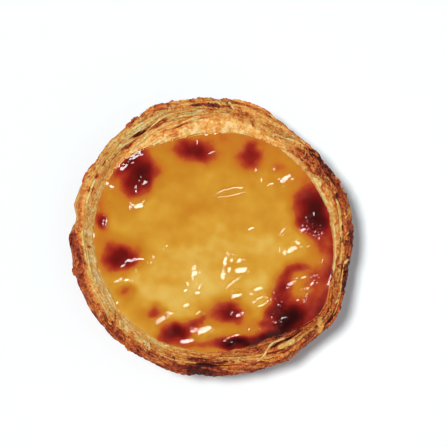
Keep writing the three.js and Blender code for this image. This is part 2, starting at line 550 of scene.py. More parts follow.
@dataclass(frozen=True)
class Split:
    """A place where neighbouring leaves of pastry have parted.

    Attributes:
        at: Angle of its middle.
        reach: Angle over which it closes.
        share: Share of the way across the rim where it lies.
        depth: Its depth at the middle.
        width: Its half-width, as a share of the same way.
        slant: Share of the way across the rim that it gains from end to end.
    """

    at: float
    reach: float
    share: float
    depth: float
    width: float = 0.035
    slant: float = 0

    def over(self, angle: Array, share: Array) -> Array:
        """Works out how deep it is.

        Args:
            angle: Angles round the tart.
            share: Shares of the way across the rim.

        Returns:
            Its depth at each point.
        """
        along = turn_from(angle, self.at) / self.reach
        side = (share - self.share - self.slant * along / 2) / self.width
        return self.depth * np.exp(-(along**4) - side**4)


@dataclass(frozen=True)
class Patch:
    """A part of the rim that the oven has browned more, or less, than the rest.

    Attributes:
        at: Angle of its middle.
        reach: Angle over which it fades out.
        share: Share of the way across the rim where it lies.
        width: Share over which it fades out.
        by: How much browner it is at the middle.
    """

    at: float
    reach: float
    share: float
    width: float
    by: float

    def over(self, angle: Array, share: Array) -> Array:
        """Works out its browning.

        Args:
            angle: Angles round the tart.
            share: Shares of the way across the rim.

        Returns:
            How much browner each point is.
        """
        turn = turn_from(angle, self.at) / self.reach
        side = (share - self.share) / self.width
        return self.by * np.exp(-(turn**2) - side**2)


@dataclass
class PastryCup:
    """The cup of laminated pastry, with the edges of its leaves, flakes and crumbs as relief."""

    form: TartForm
    # The smooth surface.
    columns: int = 780
    base_rings: int = 4
    foot_rings: int = 4
    wall_rings: int = 24
    bulge_rings: int = 10
    bulge_roundness: float = 2.2
    crown_rings: int = 58
    lip_rings: int = 22
    lip_inwards: float = 1.15
    lip_downwards: float = 0.9
    hem_inset: float = 0.1
    hem_depth: float = 2
    inner_foot_height: float = 9
    inner_foot_inset: float = 2.5
    # Leaves side by side across the rim's top: their steps, gaps and strands, with a painted highlight near
    # each leaf's edge and painted shade in the gaps.
    leaves: float = 8
    leaf_step: float = 0.4
    leaf_slope: float = 0.3
    # Painted highlight: where a paler band lies near each leaf's edge, how wide it is and how much paler.
    painted_highlight_place: float = 0.25
    painted_highlight_width: float = 0.12
    painted_edge_highlight: float = -0.12
    step_tone: float = 0.14
    gap_depth: float = 0.4
    gap_width: float = 0.12
    # Painted shade in the gaps between leaves.
    painted_gap_shade: float = 0.4
    leaf_drift: tuple[Swell, ...] = (Swell(301, 20, 4.4), Swell(41, 11, 3.0))
    leaf_wander: tuple[Streak, ...] = (
        Streak(1, 1.8, 1.1, 0.9),
        Streak(2, 6, 2.5, 0.35),
        Streak(3, 17, 5, 0.12),
    )
    leaf_steps: tuple[Streak, ...] = (Streak(4, 4, 5.3), Streak(5, 15, 3.7, 0.6))
    leaf_rags: Streak = Streak(15, 26, 2.3)
    rag_depth: float = 0.5
    leaf_parting: Streak = Streak(6, 7, 2.9, 1.3)
    strands: tuple[Streak, ...] = (Streak(16, 7, 1.3), Streak(17, 18, 2.6, 0.5))
    strand_height: float = 0.1
    strand_tone: float = 0.14
    # Where leaves, crumbs and sandy dough show.
    layering: Zone = Zone(
        0.12,
        (
            Swell(116, 26, 0.88),
            Swell(295, 28, 0.88),
            Swell(334, 12, 0.15),
            Swell(51, 9, 0.5),
            Swell(225, 25, 0.18),
        ),
    )
    crumbling: Zone = Zone(
        0.15,
        (
            Swell(32, 16, 0.9),
            Swell(242, 20, 0.3),
            Swell(268, 9, 0.3),
            Swell(88, 12, 0.35),
            Swell(350, 18, 0.5),
        ),
    )
    sanding: Zone = Zone(0.1, (Swell(92, 32, 0.9), Swell(200, 60, 0.2)))
    # Broken flakes and crumbs, each with the seed of its cells and their number round the tart.
    flake_cells: tuple[int, int] = (51, 84)
    flake_pitch: float = 1.3
    flake_height: float = 0.35
    flake_tone: float = 0.24
    crack_width: float = 0.12
    crack_depth: float = 0.3
    # Painted shade along the cracks between flakes.
    painted_crack_shade: float = 0.25
    crumb_cells: tuple[int, int] = (52, 210)
    crumb_pitch: float = 0.8
    crumb_height: float = 0.28
    crumb_tone: float = 0.2
    nick_width: float = 0.15
    nick_depth: float = 0.15
    # Painted shade along the nicks between crumbs.
    painted_nick_shade: float = 0.12
    crumb_bend: Grain = Grain(50, 2.2)
    # Ledges down the outside of the wall.
    ledge_pitch: float = 1.5
    ledge_depth: float = 0.28
    ledge_sways: tuple[Streak, ...] = (Streak(7, 2.5, 0.25, 0.8), Streak(8, 11, 0.8, 0.15))
    ledge_steps: Streak = Streak(9, 5, 4.1, 0.5)
    wall_crumbs: float = 0.35
    inner_crumbs: float = 0.35
    # Unevenness of the dough, and its sandy grain inside the lip.
    dough: tuple[Grain, ...] = (Grain(30, 4.5, 0.28), Grain(31, 1.8, 0.12))
    sand: Grain = Grain(11, 0.75)
    least_sand: float = 0.06
    sand_height: float = 0.12
    sand_tone: float = 0.22
    # Browning, from 0 for cream to 1 for burnt, and painted shade inside the parted gaps.
    border: tuple[Grain, ...] = (Grain(32, 5, 0.13), Grain(33, 2, 0.07))
    mottle: tuple[Grain, ...] = (Grain(13, 2.6, 0.13), Grain(14, 1.1, 0.1))
    outer_tone: float = 0.56
    inner_tone: float = 0.17
    # Painted shade inside the parted gaps and pits, darker the deeper they are, up to the deepest.
    painted_split_shade: float = 0.5
    deepest_split: float = 1.2
    edge_tone: float = 0.14
    browned_share: float = 0.45
    browned_swells: tuple[Swell, ...] = (
        Swell(10, 12, -0.15),
        Swell(58, 14, -0.25),
        Swell(92, 14, -0.25),
        Swell(134, 30, -0.4),
        Swell(285, 18, -0.15),
        Swell(345, 22, -0.25),
    )
    # Gaps between parted leaves, and browner or paler patches.
    split_sway: Streak = Streak(40, 22, 0, 0.02)
    splits: tuple[Split, ...] = (
        Split(114.5, 4.4, 0.83, 0.9, 0.09, 0.13),
        Split(125, 3.4, 0.73, 1.4, 0.047, -0.08),
        Split(119, 3.5, 0.73, 0.5, 0.025),
        Split(132.4, 3.8, 0.85, 0.6, 0.065, -0.1),
        Split(114, 5, 0.5, 0.4, 0.02),
        Split(106, 4, 1.16, 0.6, 0.04, 0.12),
        Split(98, 6, 0.98, 0.5, 0.025),
        Split(139, 2.2, 0.32, 0.45, 0.035, -0.3),
        Split(146.3, 1.6, 0.42, 0.9, 0.12),
        Split(153, 1.2, 0.56, 0.7, 0.07),
        Split(159.5, 1.6, 0.58, 0.8, 0.1),
        Split(72, 1.2, 0.14, 0.6, 0.08),
        Split(17, 1.2, 0.42, 0.6, 0.07),
        Split(10, 6, 0.6, 0.5, 0.03),
        Split(333, 0.8, 0.9, 0.9, 0.08),
        Split(345, 12, 0.42, 0.45, 0.03, -0.1),
        Split(326, 4, 0.62, 0.9, 0.06),
        Split(307, 10, 0.72, 1.3, 0.04, 0.1),
        Split(297, 9, 0.24, 1.0, 0.03, 0.06),
        Split(292, 12, 0.5, 0.8, 0.03, -0.25),
        Split(281, 9, 0.72, 0.7, 0.025, -0.16),
        Split(271, 10, 0.42, 0.8, 0.035, -0.1),
        Split(221, 2.2, 0.68, 0.8, 0.04, -0.4),
    )
    patches: tuple[Patch, ...] = (
        Patch(0, 11, 0.5, 0.4, 0.19),
        Patch(12, 7, 0.5, 0.18, 0.14),
        Patch(13, 8, 0.02, 0.12, -0.18),
        Patch(16, 9, 0.95, 0.14, -0.14),
        Patch(335, 5, 0.85, 0.14, -0.18),
        Patch(24, 8, 0.05, 0.12, -0.15),
        Patch(0, 8, 0.25, 0.2, 0.1),
        Patch(15, 9, 0.5, 0.3, 0.16),
        Patch(27, 9, 0.35, 0.35, 0.3),
        Patch(40, 8, 0.68, 0.3, 0.28),
        Patch(42, 10, 1.05, 0.14, -0.16),
        Patch(42, 7, 0.05, 0.15, -0.15),
        Patch(56, 11, 0.08, 0.15, -0.12),
        Patch(60, 12, 0.5, 0.3, 0.16),
        Patch(65, 4, 0.2, 0.25, 0.1),
        Patch(72, 9, 0.05, 0.13, -0.14),
        Patch(75, 5, 0.68, 0.16, 0.35),
        Patch(90, 8, 0.47, 0.11, 0.6),
        Patch(84, 16, 0.06, 0.15, -0.08),
        Patch(110, 11, 0.4, 0.22, 0.25),
        Patch(112, 12, 1.08, 0.13, 0.12),
        Patch(120, 8, 0.28, 0.12, 0.15),
        Patch(134, 7, 0.55, 0.1, -0.12),
        Patch(130, 20, 0.48, 0.16, -0.08),
        Patch(120, 18, 0.12, 0.16, -0.06),
        Patch(88, 26, 0.95, 0.2, 0.05),
        Patch(300, 22, 0.42, 0.16, 0.06),
        Patch(238, 22, 0.42, 0.18, -0.06),
        Patch(124.8, 3.4, 0.12, 0.18, 0.38),
        Patch(125, 5, 0.42, 0.1, -0.15),
        Patch(124, 14, 0.68, 0.14, 0.12),
        Patch(139, 9, 0.95, 0.15, 0.14),
        Patch(146, 11, 0.4, 0.4, 0.1),
        Patch(153, 4, 0.0, 0.08, 0.25),
        Patch(158, 10, 0.62, 0.3, 0.1),
        Patch(162, 12, 0.1, 0.14, -0.24),
        Patch(144, 6, 0.3, 0.14, 0.1),
        Patch(166, 5, 0.25, 0.08, 0.14),
        Patch(171, 7, 0.05, 0.15, -0.26),
        Patch(151, 6, 0.05, 0.12, -0.14),
        Patch(346, 12, 0.0, 0.14, 0.06),
        Patch(350, 14, 0.88, 0.16, -0.1),
        Patch(181, 3, 0.15, 0.22, 0.22),
        Patch(184, 9, 0.42, 0.2, 0.1),
        Patch(194, 8, 0.42, 0.2, 0.28),
        Patch(200, 30, 0.9, 0.3, -0.09),
        Patch(210, 4, 0.6, 0.15, -0.12),
        Patch(215, 2, 0.0, 0.08, 0.3),
        Patch(219, 5, 0.65, 0.2, 0.1),
        Patch(225, 6, 0.15, 0.2, 0.12),
        Patch(250, 8, 0.4, 0.3, 0.1),
        Patch(256, 6, 0.7, 0.2, 0.1),
        Patch(267, 6.5, 0.42, 0.42, 0.6),
        Patch(293, 27, 0.5, 0.35, 0.15),
        Patch(306, 27, 0.94, 0.35, 0.48),
        Patch(297, 10, 1.12, 0.1, 0.45),
        Patch(298, 6, 0.22, 0.1, 0.2),
        Patch(304, 4, 0.52, 0.12, -0.12),
        Patch(325, 6, 0.3, 0.2, 0.35),
        Patch(329, 9, 0.05, 0.14, 0.25),
        Patch(337, 8, 0.12, 0.15, 0.2),
        Patch(336, 8, 0.9, 0.2, 0.25),
        Patch(346, 14, 0.4, 0.35, 0.24),
    )

    def grid(self) -> Grid:
        """Works out the smooth surface, from the middle of the base round the rim to the middle of the floor.

        Returns:
            The surface before its relief.
        """
        form = self.form
        angle = full_turn(self.columns)
        foot = np.radians(np.linspace(0, 90, self.foot_rings, endpoint=False))
        flat, climb, bulge, share = (
            np.linspace(0, 1, rings, endpoint=False)
            for rings in (self.base_rings, self.wall_rings, self.bulge_rings, self.crown_rings)
        )
        inwards = np.linspace(0, 1, self.lip_rings)
        rounding = form.base_rounding
        flat_radius = form.base_radius - rounding
        height = lerp(rounding, form.tin_height, climb)
        mouth = form.wall(angle, form.tin_height)
        bulged = 1 - (1 - bulge) ** self.bulge_roundness
        lip_radius, lip_height = form.crown(angle, np.array([1.0]))
        edge_radius, edge_height = form.custard_edge(angle)
        inner_wall = form.wall(angle, self.inner_foot_height) - form.wall_thickness
        stretches = [
            (flat * flat_radius, 0),
            (lerp(flat_radius, form.wall(angle, rounding), np.sin(foot)), rounding * (1 - np.cos(foot))),
            (form.wall(angle, height), height),
            (lerp(mouth, form.rim(angle), bulged), lerp(form.tin_height, form.rim_height, bulge)),
            form.crown(angle, share),
            (
                lerp(lip_radius, edge_radius, inwards**self.lip_inwards),
                lerp(lip_height, edge_height, inwards**self.lip_downwards),
            ),
            (edge_radius - self.hem_inset, edge_height - self.hem_depth),
            (inner_wall, self.inner_foot_height),
            (inner_wall - self.inner_foot_inset, form.floor_thickness),
            (0, form.floor_thickness),
        ]
        return Grid.joined(angle, stretches)

    @property
    def rim_ring(self) -> int:
        """Number of the ring on the widest line."""
        return self.base_rings + self.foot_rings + self.wall_rings + self.bulge_rings

    @property
    def lip_ring(self) -> int:
        """Number of the ring on the lip."""
        return self.rim_ring + self.crown_rings

    @property
    def fill_ring(self) -> int:
        """Number of the first ring below the custard."""
        return self.lip_ring + self.lip_rings

    def from_rim(self, grid: Grid) -> Array:
        """Length of the section from the widest line to each ring, less than 0 below it."""
        run = grid.run()
        return run - run[:, self.rim_ring][:, None]

    def share(self, grid: Grid) -> Array:
        """Works out how far across the rim each point lies, as seen from above.

        Args:
            grid: The smooth surface.

        Returns:
            The share: 0 on the widest line, 1 on the lip, less than 0 below and more than 1 inside.
        """
        rim, lip = self.form.rim(grid.angle), self.form.lip(grid.angle)
        down = self.from_rim(grid)
        return np.where(down < 0, down, rim - grid.radius) / (rim - lip)

    def split_depth(self, grid: Grid, share: Array) -> Array:
        """Works out the gaps between leaves that have parted.

        Args:
            grid: The smooth surface.
            share: Share of the way across the rim.

        Returns:
            Their depth at each point, straight down.
        """
        depth = total(self.splits, grid.angle, share - self.split_sway.over(grid.angle, share))
        depth[:, self.fill_ring :] = 0
        return depth

    def leaf_relief(self, grid: Grid, share: Array) -> tuple[Array, Array]:
        """Works out the edges of the leaves, which lie side by side across the rim's top.

        Args:
            grid: The smooth surface.
            share: Share of the way across the rim.

        Returns:
            The height of the relief, and how browned it is, with painted shade in the gaps and a painted
            highlight near each leaf's edge.
        """
        angle = grid.angle
        drift = total(self.leaf_drift, angle)
        phase = self.leaves * share + total(self.leaf_wander, angle, share, start=drift)
        leaf = np.floor(phase)
        inside = phase - leaf
        step = total(self.leaf_steps, angle, leaf)
        ragged = smoothstep(0.1, 0.3, self.leaf_rags.over(angle, leaf))
        gap = fade(np.minimum(inside, 1 - inside), self.gap_width)
        gap *= np.clip(0.15 + self.leaf_parting.over(angle, leaf), 0, 1.2)
        # Band near each leaf's edge that is painted paler as a highlight.
        edge = fade(inside - self.painted_highlight_place, self.painted_highlight_width)
        strand = total(self.strands, angle, phase)
        height = self.leaf_step * (step - self.rag_depth * ragged) + self.leaf_slope * (0.5 - inside)
        height += self.strand_height * strand
        # Painted shade in the gaps, and a painted highlight near each leaf's edge.
        shade = self.painted_gap_shade * gap + self.painted_edge_highlight * edge
        shade += self.step_tone * step
        shade += self.strand_tone * strand
        return height - self.gap_depth * gap, shade

    def crumb_relief(self, grid: Grid) -> tuple[Array, Array]:
        """Works out the broken flakes and crumbs.

        Args:
            grid: The smooth surface.

        Returns:
            The height of the relief, and how browned it is, with painted shade along the cracks and nicks.
        """
        across = self.from_rim(grid)
        bend = self.crumb_bend.over(*np.moveaxis(grid.points, -1, 0))
        flakes, crumbs = Cells(*self.flake_cells), Cells(*self.crumb_cells)
        flake, flake_edge = flakes(grid.angle + 1.6 * bend, across / self.flake_pitch + 0.5 * bend)
        crumb, crumb_edge = crumbs(grid.angle - bend, across / self.crumb_pitch + 0.6 * bend)
        crack, nick = fade(flake_edge, self.crack_width), fade(crumb_edge, self.nick_width)
        height = self.flake_height * flake + self.crumb_height * crumb
        height -= self.crack_depth * crack
        height -= self.nick_depth * nick
        shade = self.flake_tone * flake + self.crumb_tone * crumb
        # Painted shade along the cracks and nicks.
        shade += self.painted_crack_shade * crack
        shade += self.painted_nick_shade * nick
        return height, shade

    def ledge_relief(self, grid: Grid) -> Array:
        """Works out the ledges that the leaves make down the outside of the wall.

        Args:
            grid: The smooth surface.

        Returns:
            The height of the relief.
        """
        angle = grid.angle
        rung = self.from_rim(grid) / self.ledge_pitch
        for sway in self.ledge_sways:
            rung += sway.over(angle, rung)
        ledge = np.floor(rung)
        return self.ledge_depth * (0.6 - (rung - ledge) + self.ledge_steps.over(angle, ledge))

    def relief(self, grid: Grid, share: Array, splits: Array) -> tuple[Array, Array]:
        """Works out the fine shape and the browning.

        Args:
            grid: The smooth surface.
            share: Share of the way across the rim.
            splits: Depth of the gaps between leaves that have parted.

        Returns:
            How far each point stands out of the smooth surface, and how browned it is, with painted shade in
            gaps, cracks and parted leaves and painted highlights near leaf edges.
        """
        places = np.moveaxis(grid.points, -1, 0)
        angle = grid.angle
        above_fill = 1 - smoothstep(self.fill_ring - 3, self.fill_ring, np.arange(share.shape[1]))
        on_rim = smoothstep(-0.3, 0.0, share) * above_fill
        on_wall = 1 - smoothstep(-0.3, 0.0, share)
        inner = smoothstep(0.75, 1.1, share) * on_rim
        layered = self.layering.over(angle) * on_rim
        crumbly = self.crumbling.over(angle) * lerp(1, self.inner_crumbs, inner)
        sandy = self.sanding.over(angle) * inner
        leaves, leaf_shade = self.leaf_relief(grid, share)
        crumbs, crumb_shade = self.crumb_relief(grid)
        sand = self.sand.over(*places)
        relief = layered * leaves + (on_rim * crumbly + self.wall_crumbs * on_wall) * crumbs
        relief += on_wall * self.ledge_relief(grid)
        sand_relief = (self.least_sand + self.sand_height * sandy) * sand
        relief += above_fill * (total(self.dough, *places) + sand_relief)
        relief *= smoothstep(0.0, 3.0, grid.height)

        past = share + total(self.border, *places) - self.browned_to(angle)
        shade = lerp(self.outer_tone, self.inner_tone, smoothstep(-0.2, 0.2, past))
        shade += total(self.mottle, *places)
        shade += layered * leaf_shade + crumbly * crumb_shade + self.sand_tone * sandy * sand
        shade += total(self.patches, angle, share)
        # Painted shade inside the parted gaps and pits, darker with depth.
        shade += self.painted_split_shade * np.minimum(splits, self.deepest_split)
        shade += self.edge_tone * smoothstep(0.16, 0.0, np.abs(share + 0.08))
        return relief, shade

    def browned_to(self, angle: Array) -> Array:
        """Share of the way across the rim where its browned outside ends."""
        return self.browned_share + total(self.browned_swells, angle)

    def parted(self, angle: float, reach: float, share: float) -> bool:
        """Tells whether a flake would cover a gap between leaves.

        Args:
            angle: Angle of the flake's middle.
            reach: Angle from its middle to each end.
            share: Share of the way across the rim where it lies.

        Returns:
            True where it would.
        """
        angles = angle + 0.7 * reach * np.array([[-1], [0], [1]])
        shares = share + np.array([-0.07, 0, 0.07])
        return total(self.splits, angles, shares).max() > 0.4

    def surface(self) -> tuple[Array, Array]:
        """Works out the baked surface.

        Returns:
            Places by column and ring, and how browned each is, painted shade and highlights included.
        """
        grid = self.grid()
        share = self.share(grid)
        splits = self.split_depth(grid, share)
        relief, shade = self.relief(grid, share, splits)
        points = grid.points + relief[..., None] * grid.normals()
        points[..., 2] -= splits
        points[:, 0] = 0
        points[:, -1] = (0, 0, self.form.floor_thickness)
        points[..., 2] = np.maximum(points[..., 2], 0)
        return points, shade

    def build(self) -> bpy.types.Object:
        """Makes the piece."""
        return piece_of("pastry_cup_baked", [Shell(*self.surface(), Mark.BROWNING_AND_PAINTED_LIGHT)])


@dataclass(frozen=True)
class Leaf:
    """A thin leaf of pastry that has lifted off the rim.

    Attributes:
        at: Angle of its middle.
        reach: Angle from its middle to each end.
        share: Share of the way from the rim's widest part to its lip where its middle line lies.
        width: Half-width.
        tilt: Angle by which its outer edge stands up.
        browning: How browned it is.
        raise_by: Height of its middle line above the rim's smooth top.
        drift: Share of the way across the rim that it gains from end to end.
    """

    at: float
    reach: float
    share: float
    width: float
    tilt: float
    browning: float
    raise_by: float = 0.35
    drift: float = 0

    THICKNESS: ClassVar[float] = 0.22
    SECTION_POINTS: ClassVar[int] = 12
    WOBBLE: ClassVar[Grain] = Grain(60, 2.5)
    RAGS: ClassVar[Grain] = Grain(61, 1.1)

    def shell(self, form: TartForm) -> Shell:
        """Shapes the leaf: a flat, ragged strip along the rim that tapers at both ends.

        Args:
            form: The form that it lies on.

        Returns:
            Its closed shell.
        """
        along = np.linspace(-1, 1, max(9, min(37, int(3.2 * self.reach))))
        angle = self.at + self.reach * along
        taper = np.maximum(0, 1 - along**4) ** 0.6
        wobble, ragged = (
            Noise(grain.seed)(along * self.reach / grain.pitch, self.at, 0)
            for grain in (self.WOBBLE, self.RAGS)
        )
        drift = self.drift * np.sin(np.radians(90 * along)) / 2
        radius, height = form.crown(angle, np.maximum(self.share + drift + 0.02 * wobble, 0))
        half = self.width * taper * (1 + 0.5 * ragged)
        tilt = np.radians(self.tilt + 12 * wobble)
        section = np.radians(full_turn(self.SECTION_POINTS))
        across = half * np.cos(section)
        thick = self.THICKNESS / 2 * taper * np.sin(section)
        curl = 0.25 * self.width * (across / self.width) ** 2
        out = across * np.cos(tilt) - (thick + curl) * np.sin(tilt)
        up = across * np.sin(tilt) + (thick + curl) * np.cos(tilt)
        grid = Grid(radius + out, height + self.raise_by + up, np.broadcast_to(angle, out.shape))
        edge = np.abs(across) / self.width
        shade = self.browning + 0.25 * edge**3 + 0.2 * wobble + 0.12 * ragged
        return Shell(grid.points, shade, Mark.BROWNING_AND_PAINTED_LIGHT)


@dataclass
class Leaves:
    """The leaves and flakes that stand up from the rim: the largest listed one by one, the others by a seeded
    draw.
    """

    cup: PastryCup
    count: int = 300
    seed: int = 8
    largest: tuple[Leaf, ...] = (
        Leaf(114.5, 5, 0.7, 0.22, 15, 0.0, 0.25, 0.13),
        Leaf(125, 4.5, 0.62, 0.25, 15, -0.05, 0.3, -0.08),
        Leaf(132.4, 4.5, 0.72, 0.25, 15, 0.05, 0.3, -0.1),
        Leaf(122, 12, 0.99, 0.35, -15, 0.12, 0.15, 0.04),
        Leaf(104, 9, 1.05, 0.3, 10, 0.1, 0.2, 0.14),
        Leaf(112, 7, 0.26, 1.0, 15, 0.42, 0.25, -0.1),
        Leaf(116, 5, 0.04, 0.6, 15, 0.35, 0.1, 0.08),
        Leaf(125.0, 4.0, 0.14, 0.9, 20, 0.55, 0.35, 0.05),
        Leaf(115.5, 5.5, 0.2, 0.3, 30, 0.5, 0.45, -0.16),
        Leaf(112.5, 4, 0.32, 0.22, 25, 0.55, 0.4, -0.1),
        Leaf(123, 3, 0.24, 0.45, -15, 0.35, 0.4),
        Leaf(126, 5, 0.42, 0.4, 10, 0.05, 0.25, -0.05),
        Leaf(136, 8, 0.42, 0.7, 22, 0.25, 0.25, 0.1),
        Leaf(100, 9, 0.8, 0.4, 30, 0.12, 0.2),
        Leaf(153, 5, 0.05, 0.5, 10, 0.5, 0.05),
        Leaf(195, 1.8, 0.0, 0.5, -10, 0.6, 0.0),
        Leaf(182, 3.0, 0.05, 0.6, 20, 0.75, 0.1),
        Leaf(295, 5.5, 0.55, 0.38, 20, 0.06, 0.45, 0.5),
        Leaf(302.5, 3.2, 0.8, 0.35, 40, 0.06, 0.35),
        Leaf(304, 4.5, 0.5, 0.7, 10, 0.16, 0.3),
        Leaf(320, 3.4, 0.42, 1.2, 0, 0.27, 0.4, 0.5),
        Leaf(303, 9, 0.22, 0.8, 20, 0.4, 0.3, 0.1),
        Leaf(288, 12, 0.42, 0.4, 35, 0.22, 0.25, -0.3),
        Leaf(283, 11, 0.62, 0.35, 35, 0.2, 0.25, -0.26),
        Leaf(311, 7, 0.45, 0.5, 30, 0.3, 0.3, 0.1),
        Leaf(327, 9, 0.12, 0.8, 24, 0.55, 0.1, 0.1),
        Leaf(345, 12, 0.58, 0.4, 30, 0.16, 0.15, 0.05),
        Leaf(5, 11, 0.6, 0.5, 35, 0.15, 0.2, -0.08),
        Leaf(20, 10, 0.97, 0.3, 30, 0.0, 0.2),
        Leaf(354, 12, 0.95, 0.3, 25, 0.0, 0.2),
        Leaf(51, 6, 0.45, 0.25, 20, 0.22, 0.15, 0.6),
        Leaf(55, 5, 0.62, 0.25, 20, 0.15, 0.15, 0.5),
    )

    def drawn(self) -> list[Leaf]:
        """Draws the smaller leaves and flakes.

        Returns:
            As many as `count`, none of them over a gap.
        """
        draw = np.random.default_rng(self.seed)
        flakes = []
        while len(flakes) < self.count:
            angle, share = draw.uniform(0, 360), draw.uniform(0.0, 0.85)
            broken = draw.random() < 0.6
            share = max(share, 0.05) if broken else share
            zone = self.cup.crumbling if broken else self.cup.layering
            reach = draw.uniform(0.9, 2.0) if broken else draw.uniform(4, 11)
            ends = np.array((angle - reach, angle + reach))
            slant = -np.diff(total(self.cup.leaf_drift, ends))[0] / self.cup.leaves
            if draw.random() > zone.over(np.array(angle)) or self.cup.parted(angle, reach, share):
                continue
            if not broken and share < abs(slant) / 2 + 0.05:
                continue
            browning = 0.5 if share < self.cup.browned_to(np.array(angle)) else 0.2
            browning += float(total(self.cup.patches, np.array(angle), np.array(share)))
            flakes.append(
                Leaf(
                    at=angle,
                    reach=reach,
                    share=share,
                    width=draw.uniform(0.25, 0.5) if broken else draw.uniform(0.2, 0.45),
                    tilt=draw.uniform(-20, 45) if broken else draw.uniform(5, 40),
                    browning=browning + (draw.uniform(-0.3, 0.3) if broken else draw.uniform(-0.22, 0.1)),
                    raise_by=draw.uniform(0.0, 0.3),
                    drift=draw.uniform(-0.3, 0.1) if broken else slant + draw.uniform(-0.01, 0.01) * reach,
                )
            )
        return flakes

    def build(self) -> bpy.types.Object:
        """Makes the piece."""
        leaves = (*self.largest, *self.drawn())
        return piece_of("pastry_leaves", [leaf.shell(self.cup.form) for leaf in leaves])


@dataclass(frozen=True)
class Blister:
    """A bubble in the custard's skin, which browned first.

    Attributes:
        x: Place of its middle, to the right.
        y: Place of its middle, to the back.
        wide: Half-width along X.
        deep: Half-width along Y.
        high: Height.
        scorch: How dark it is, from 0 to 1, or less than 0 for a paler spot of painted sheen round the
            highlights.
        turn: Angle by which it is turned.
    """

    x: float
    y: float
    wide: float
    deep: float
    high: float
    scorch: float
    turn: float = 0

    def distance(self, x: Array, y: Array) -> Array:
        """Works out how far from the middle each place is.

        Args:
            x: Places to the right.
            y: Places to the back.

        Returns:
            The distance, as a share of the half-width that way.
        """
        cos, sin = math.cos(math.radians(self.turn)), math.sin(math.radians(self.turn))
        dx, dy = x - self.x, y - self.y
        return np.hypot((cos * dx + sin * dy) / self.wide, (cos * dy - sin * dx) / self.deep)


class Facing(Enum):
    """Ways in which a fold of the skin faces: the angle it looks to, and its slope."""

    FRONT = (-78, 0.37)
    CORNER = (-51, 0.37)
    RIGHT = (-5, 0.29)


@dataclass(frozen=True)
class Crease:
    """A fold in the custard's skin: a narrow strip along a bent line that faces to one side.

    Attributes:
        line: Its start, its middle and its end, or only its start and its end.
        width: Half-width of the fold.
        steps: How many straight pieces the bent line is made of.
        span: Distance over which the slope of the calm skin is measured, each way.
    """

    line: tuple[tuple[float, float], ...]
    width: float
    steps: int = 8
    span: float = 0.3

    def facing(self) -> tuple[Array, float]:
        """Picks the side that the fold looks to most squarely.

        Returns:
            The side as a direction, and its slope.
        """
        run = np.subtract(self.line[-1], self.line[0])
        sides = []
        for facing in Facing:
            azimuth, slope = facing.value
            look = np.array((math.cos(math.radians(azimuth)), math.sin(math.radians(azimuth))))
            sides.append((abs(run[0] * look[1] - run[1] * look[0]), slope, look))
        _, slope, look = max(sides, key=lambda side: side[0])
        return look, slope

    def over(self, x: Array, y: Array, calm: Surface) -> Array:
        """Works out the height that the crease adds.

        Args:
            x: Places to the right.
            y: Places to the back.
            calm: Gives the height of the skin without folds, which the crease cancels where it lies.

        Returns:
            The height at each point.
        """
        start, end = np.array(self.line[0]), np.array(self.line[-1])
        bend = 2 * np.array(self.line[1]) - (start + end) / 2 if len(self.line) == 3 else (start + end) / 2
        share = np.linspace(0, 1, self.steps + 1)[:, None]
        curve = (1 - share) ** 2 * start + 2 * share * (1 - share) * bend + share**2 * end
        look, slope = self.facing()
        sides = self.span * np.array([-1, 1, 0, 0])
        nearest = np.full(x.shape, np.inf)
        fall = np.zeros(x.shape)
        for low, high in itertools.pairwise(curve):
            at_x, at_y = (low + high) / 2
            left, right, front, back = calm(at_x + sides, at_y + np.roll(sides, 2))
            steep_x, steep_y = slope * look + np.array([right - left, back - front]) / (2 * self.span)
            run = high - low
            along = np.clip(((x - low[0]) * run[0] + (y - low[1]) * run[1]) / (run @ run), 0, 1)
            off_x, off_y = x - low[0] - along * run[0], y - low[1] - along * run[1]
            distance = np.hypot(off_x, off_y)
            fall = np.where(distance < nearest, off_x * steep_x + off_y * steep_y, fall)
            nearest = np.minimum(nearest, distance)
        return -fall * fade(nearest, self.width, 4)


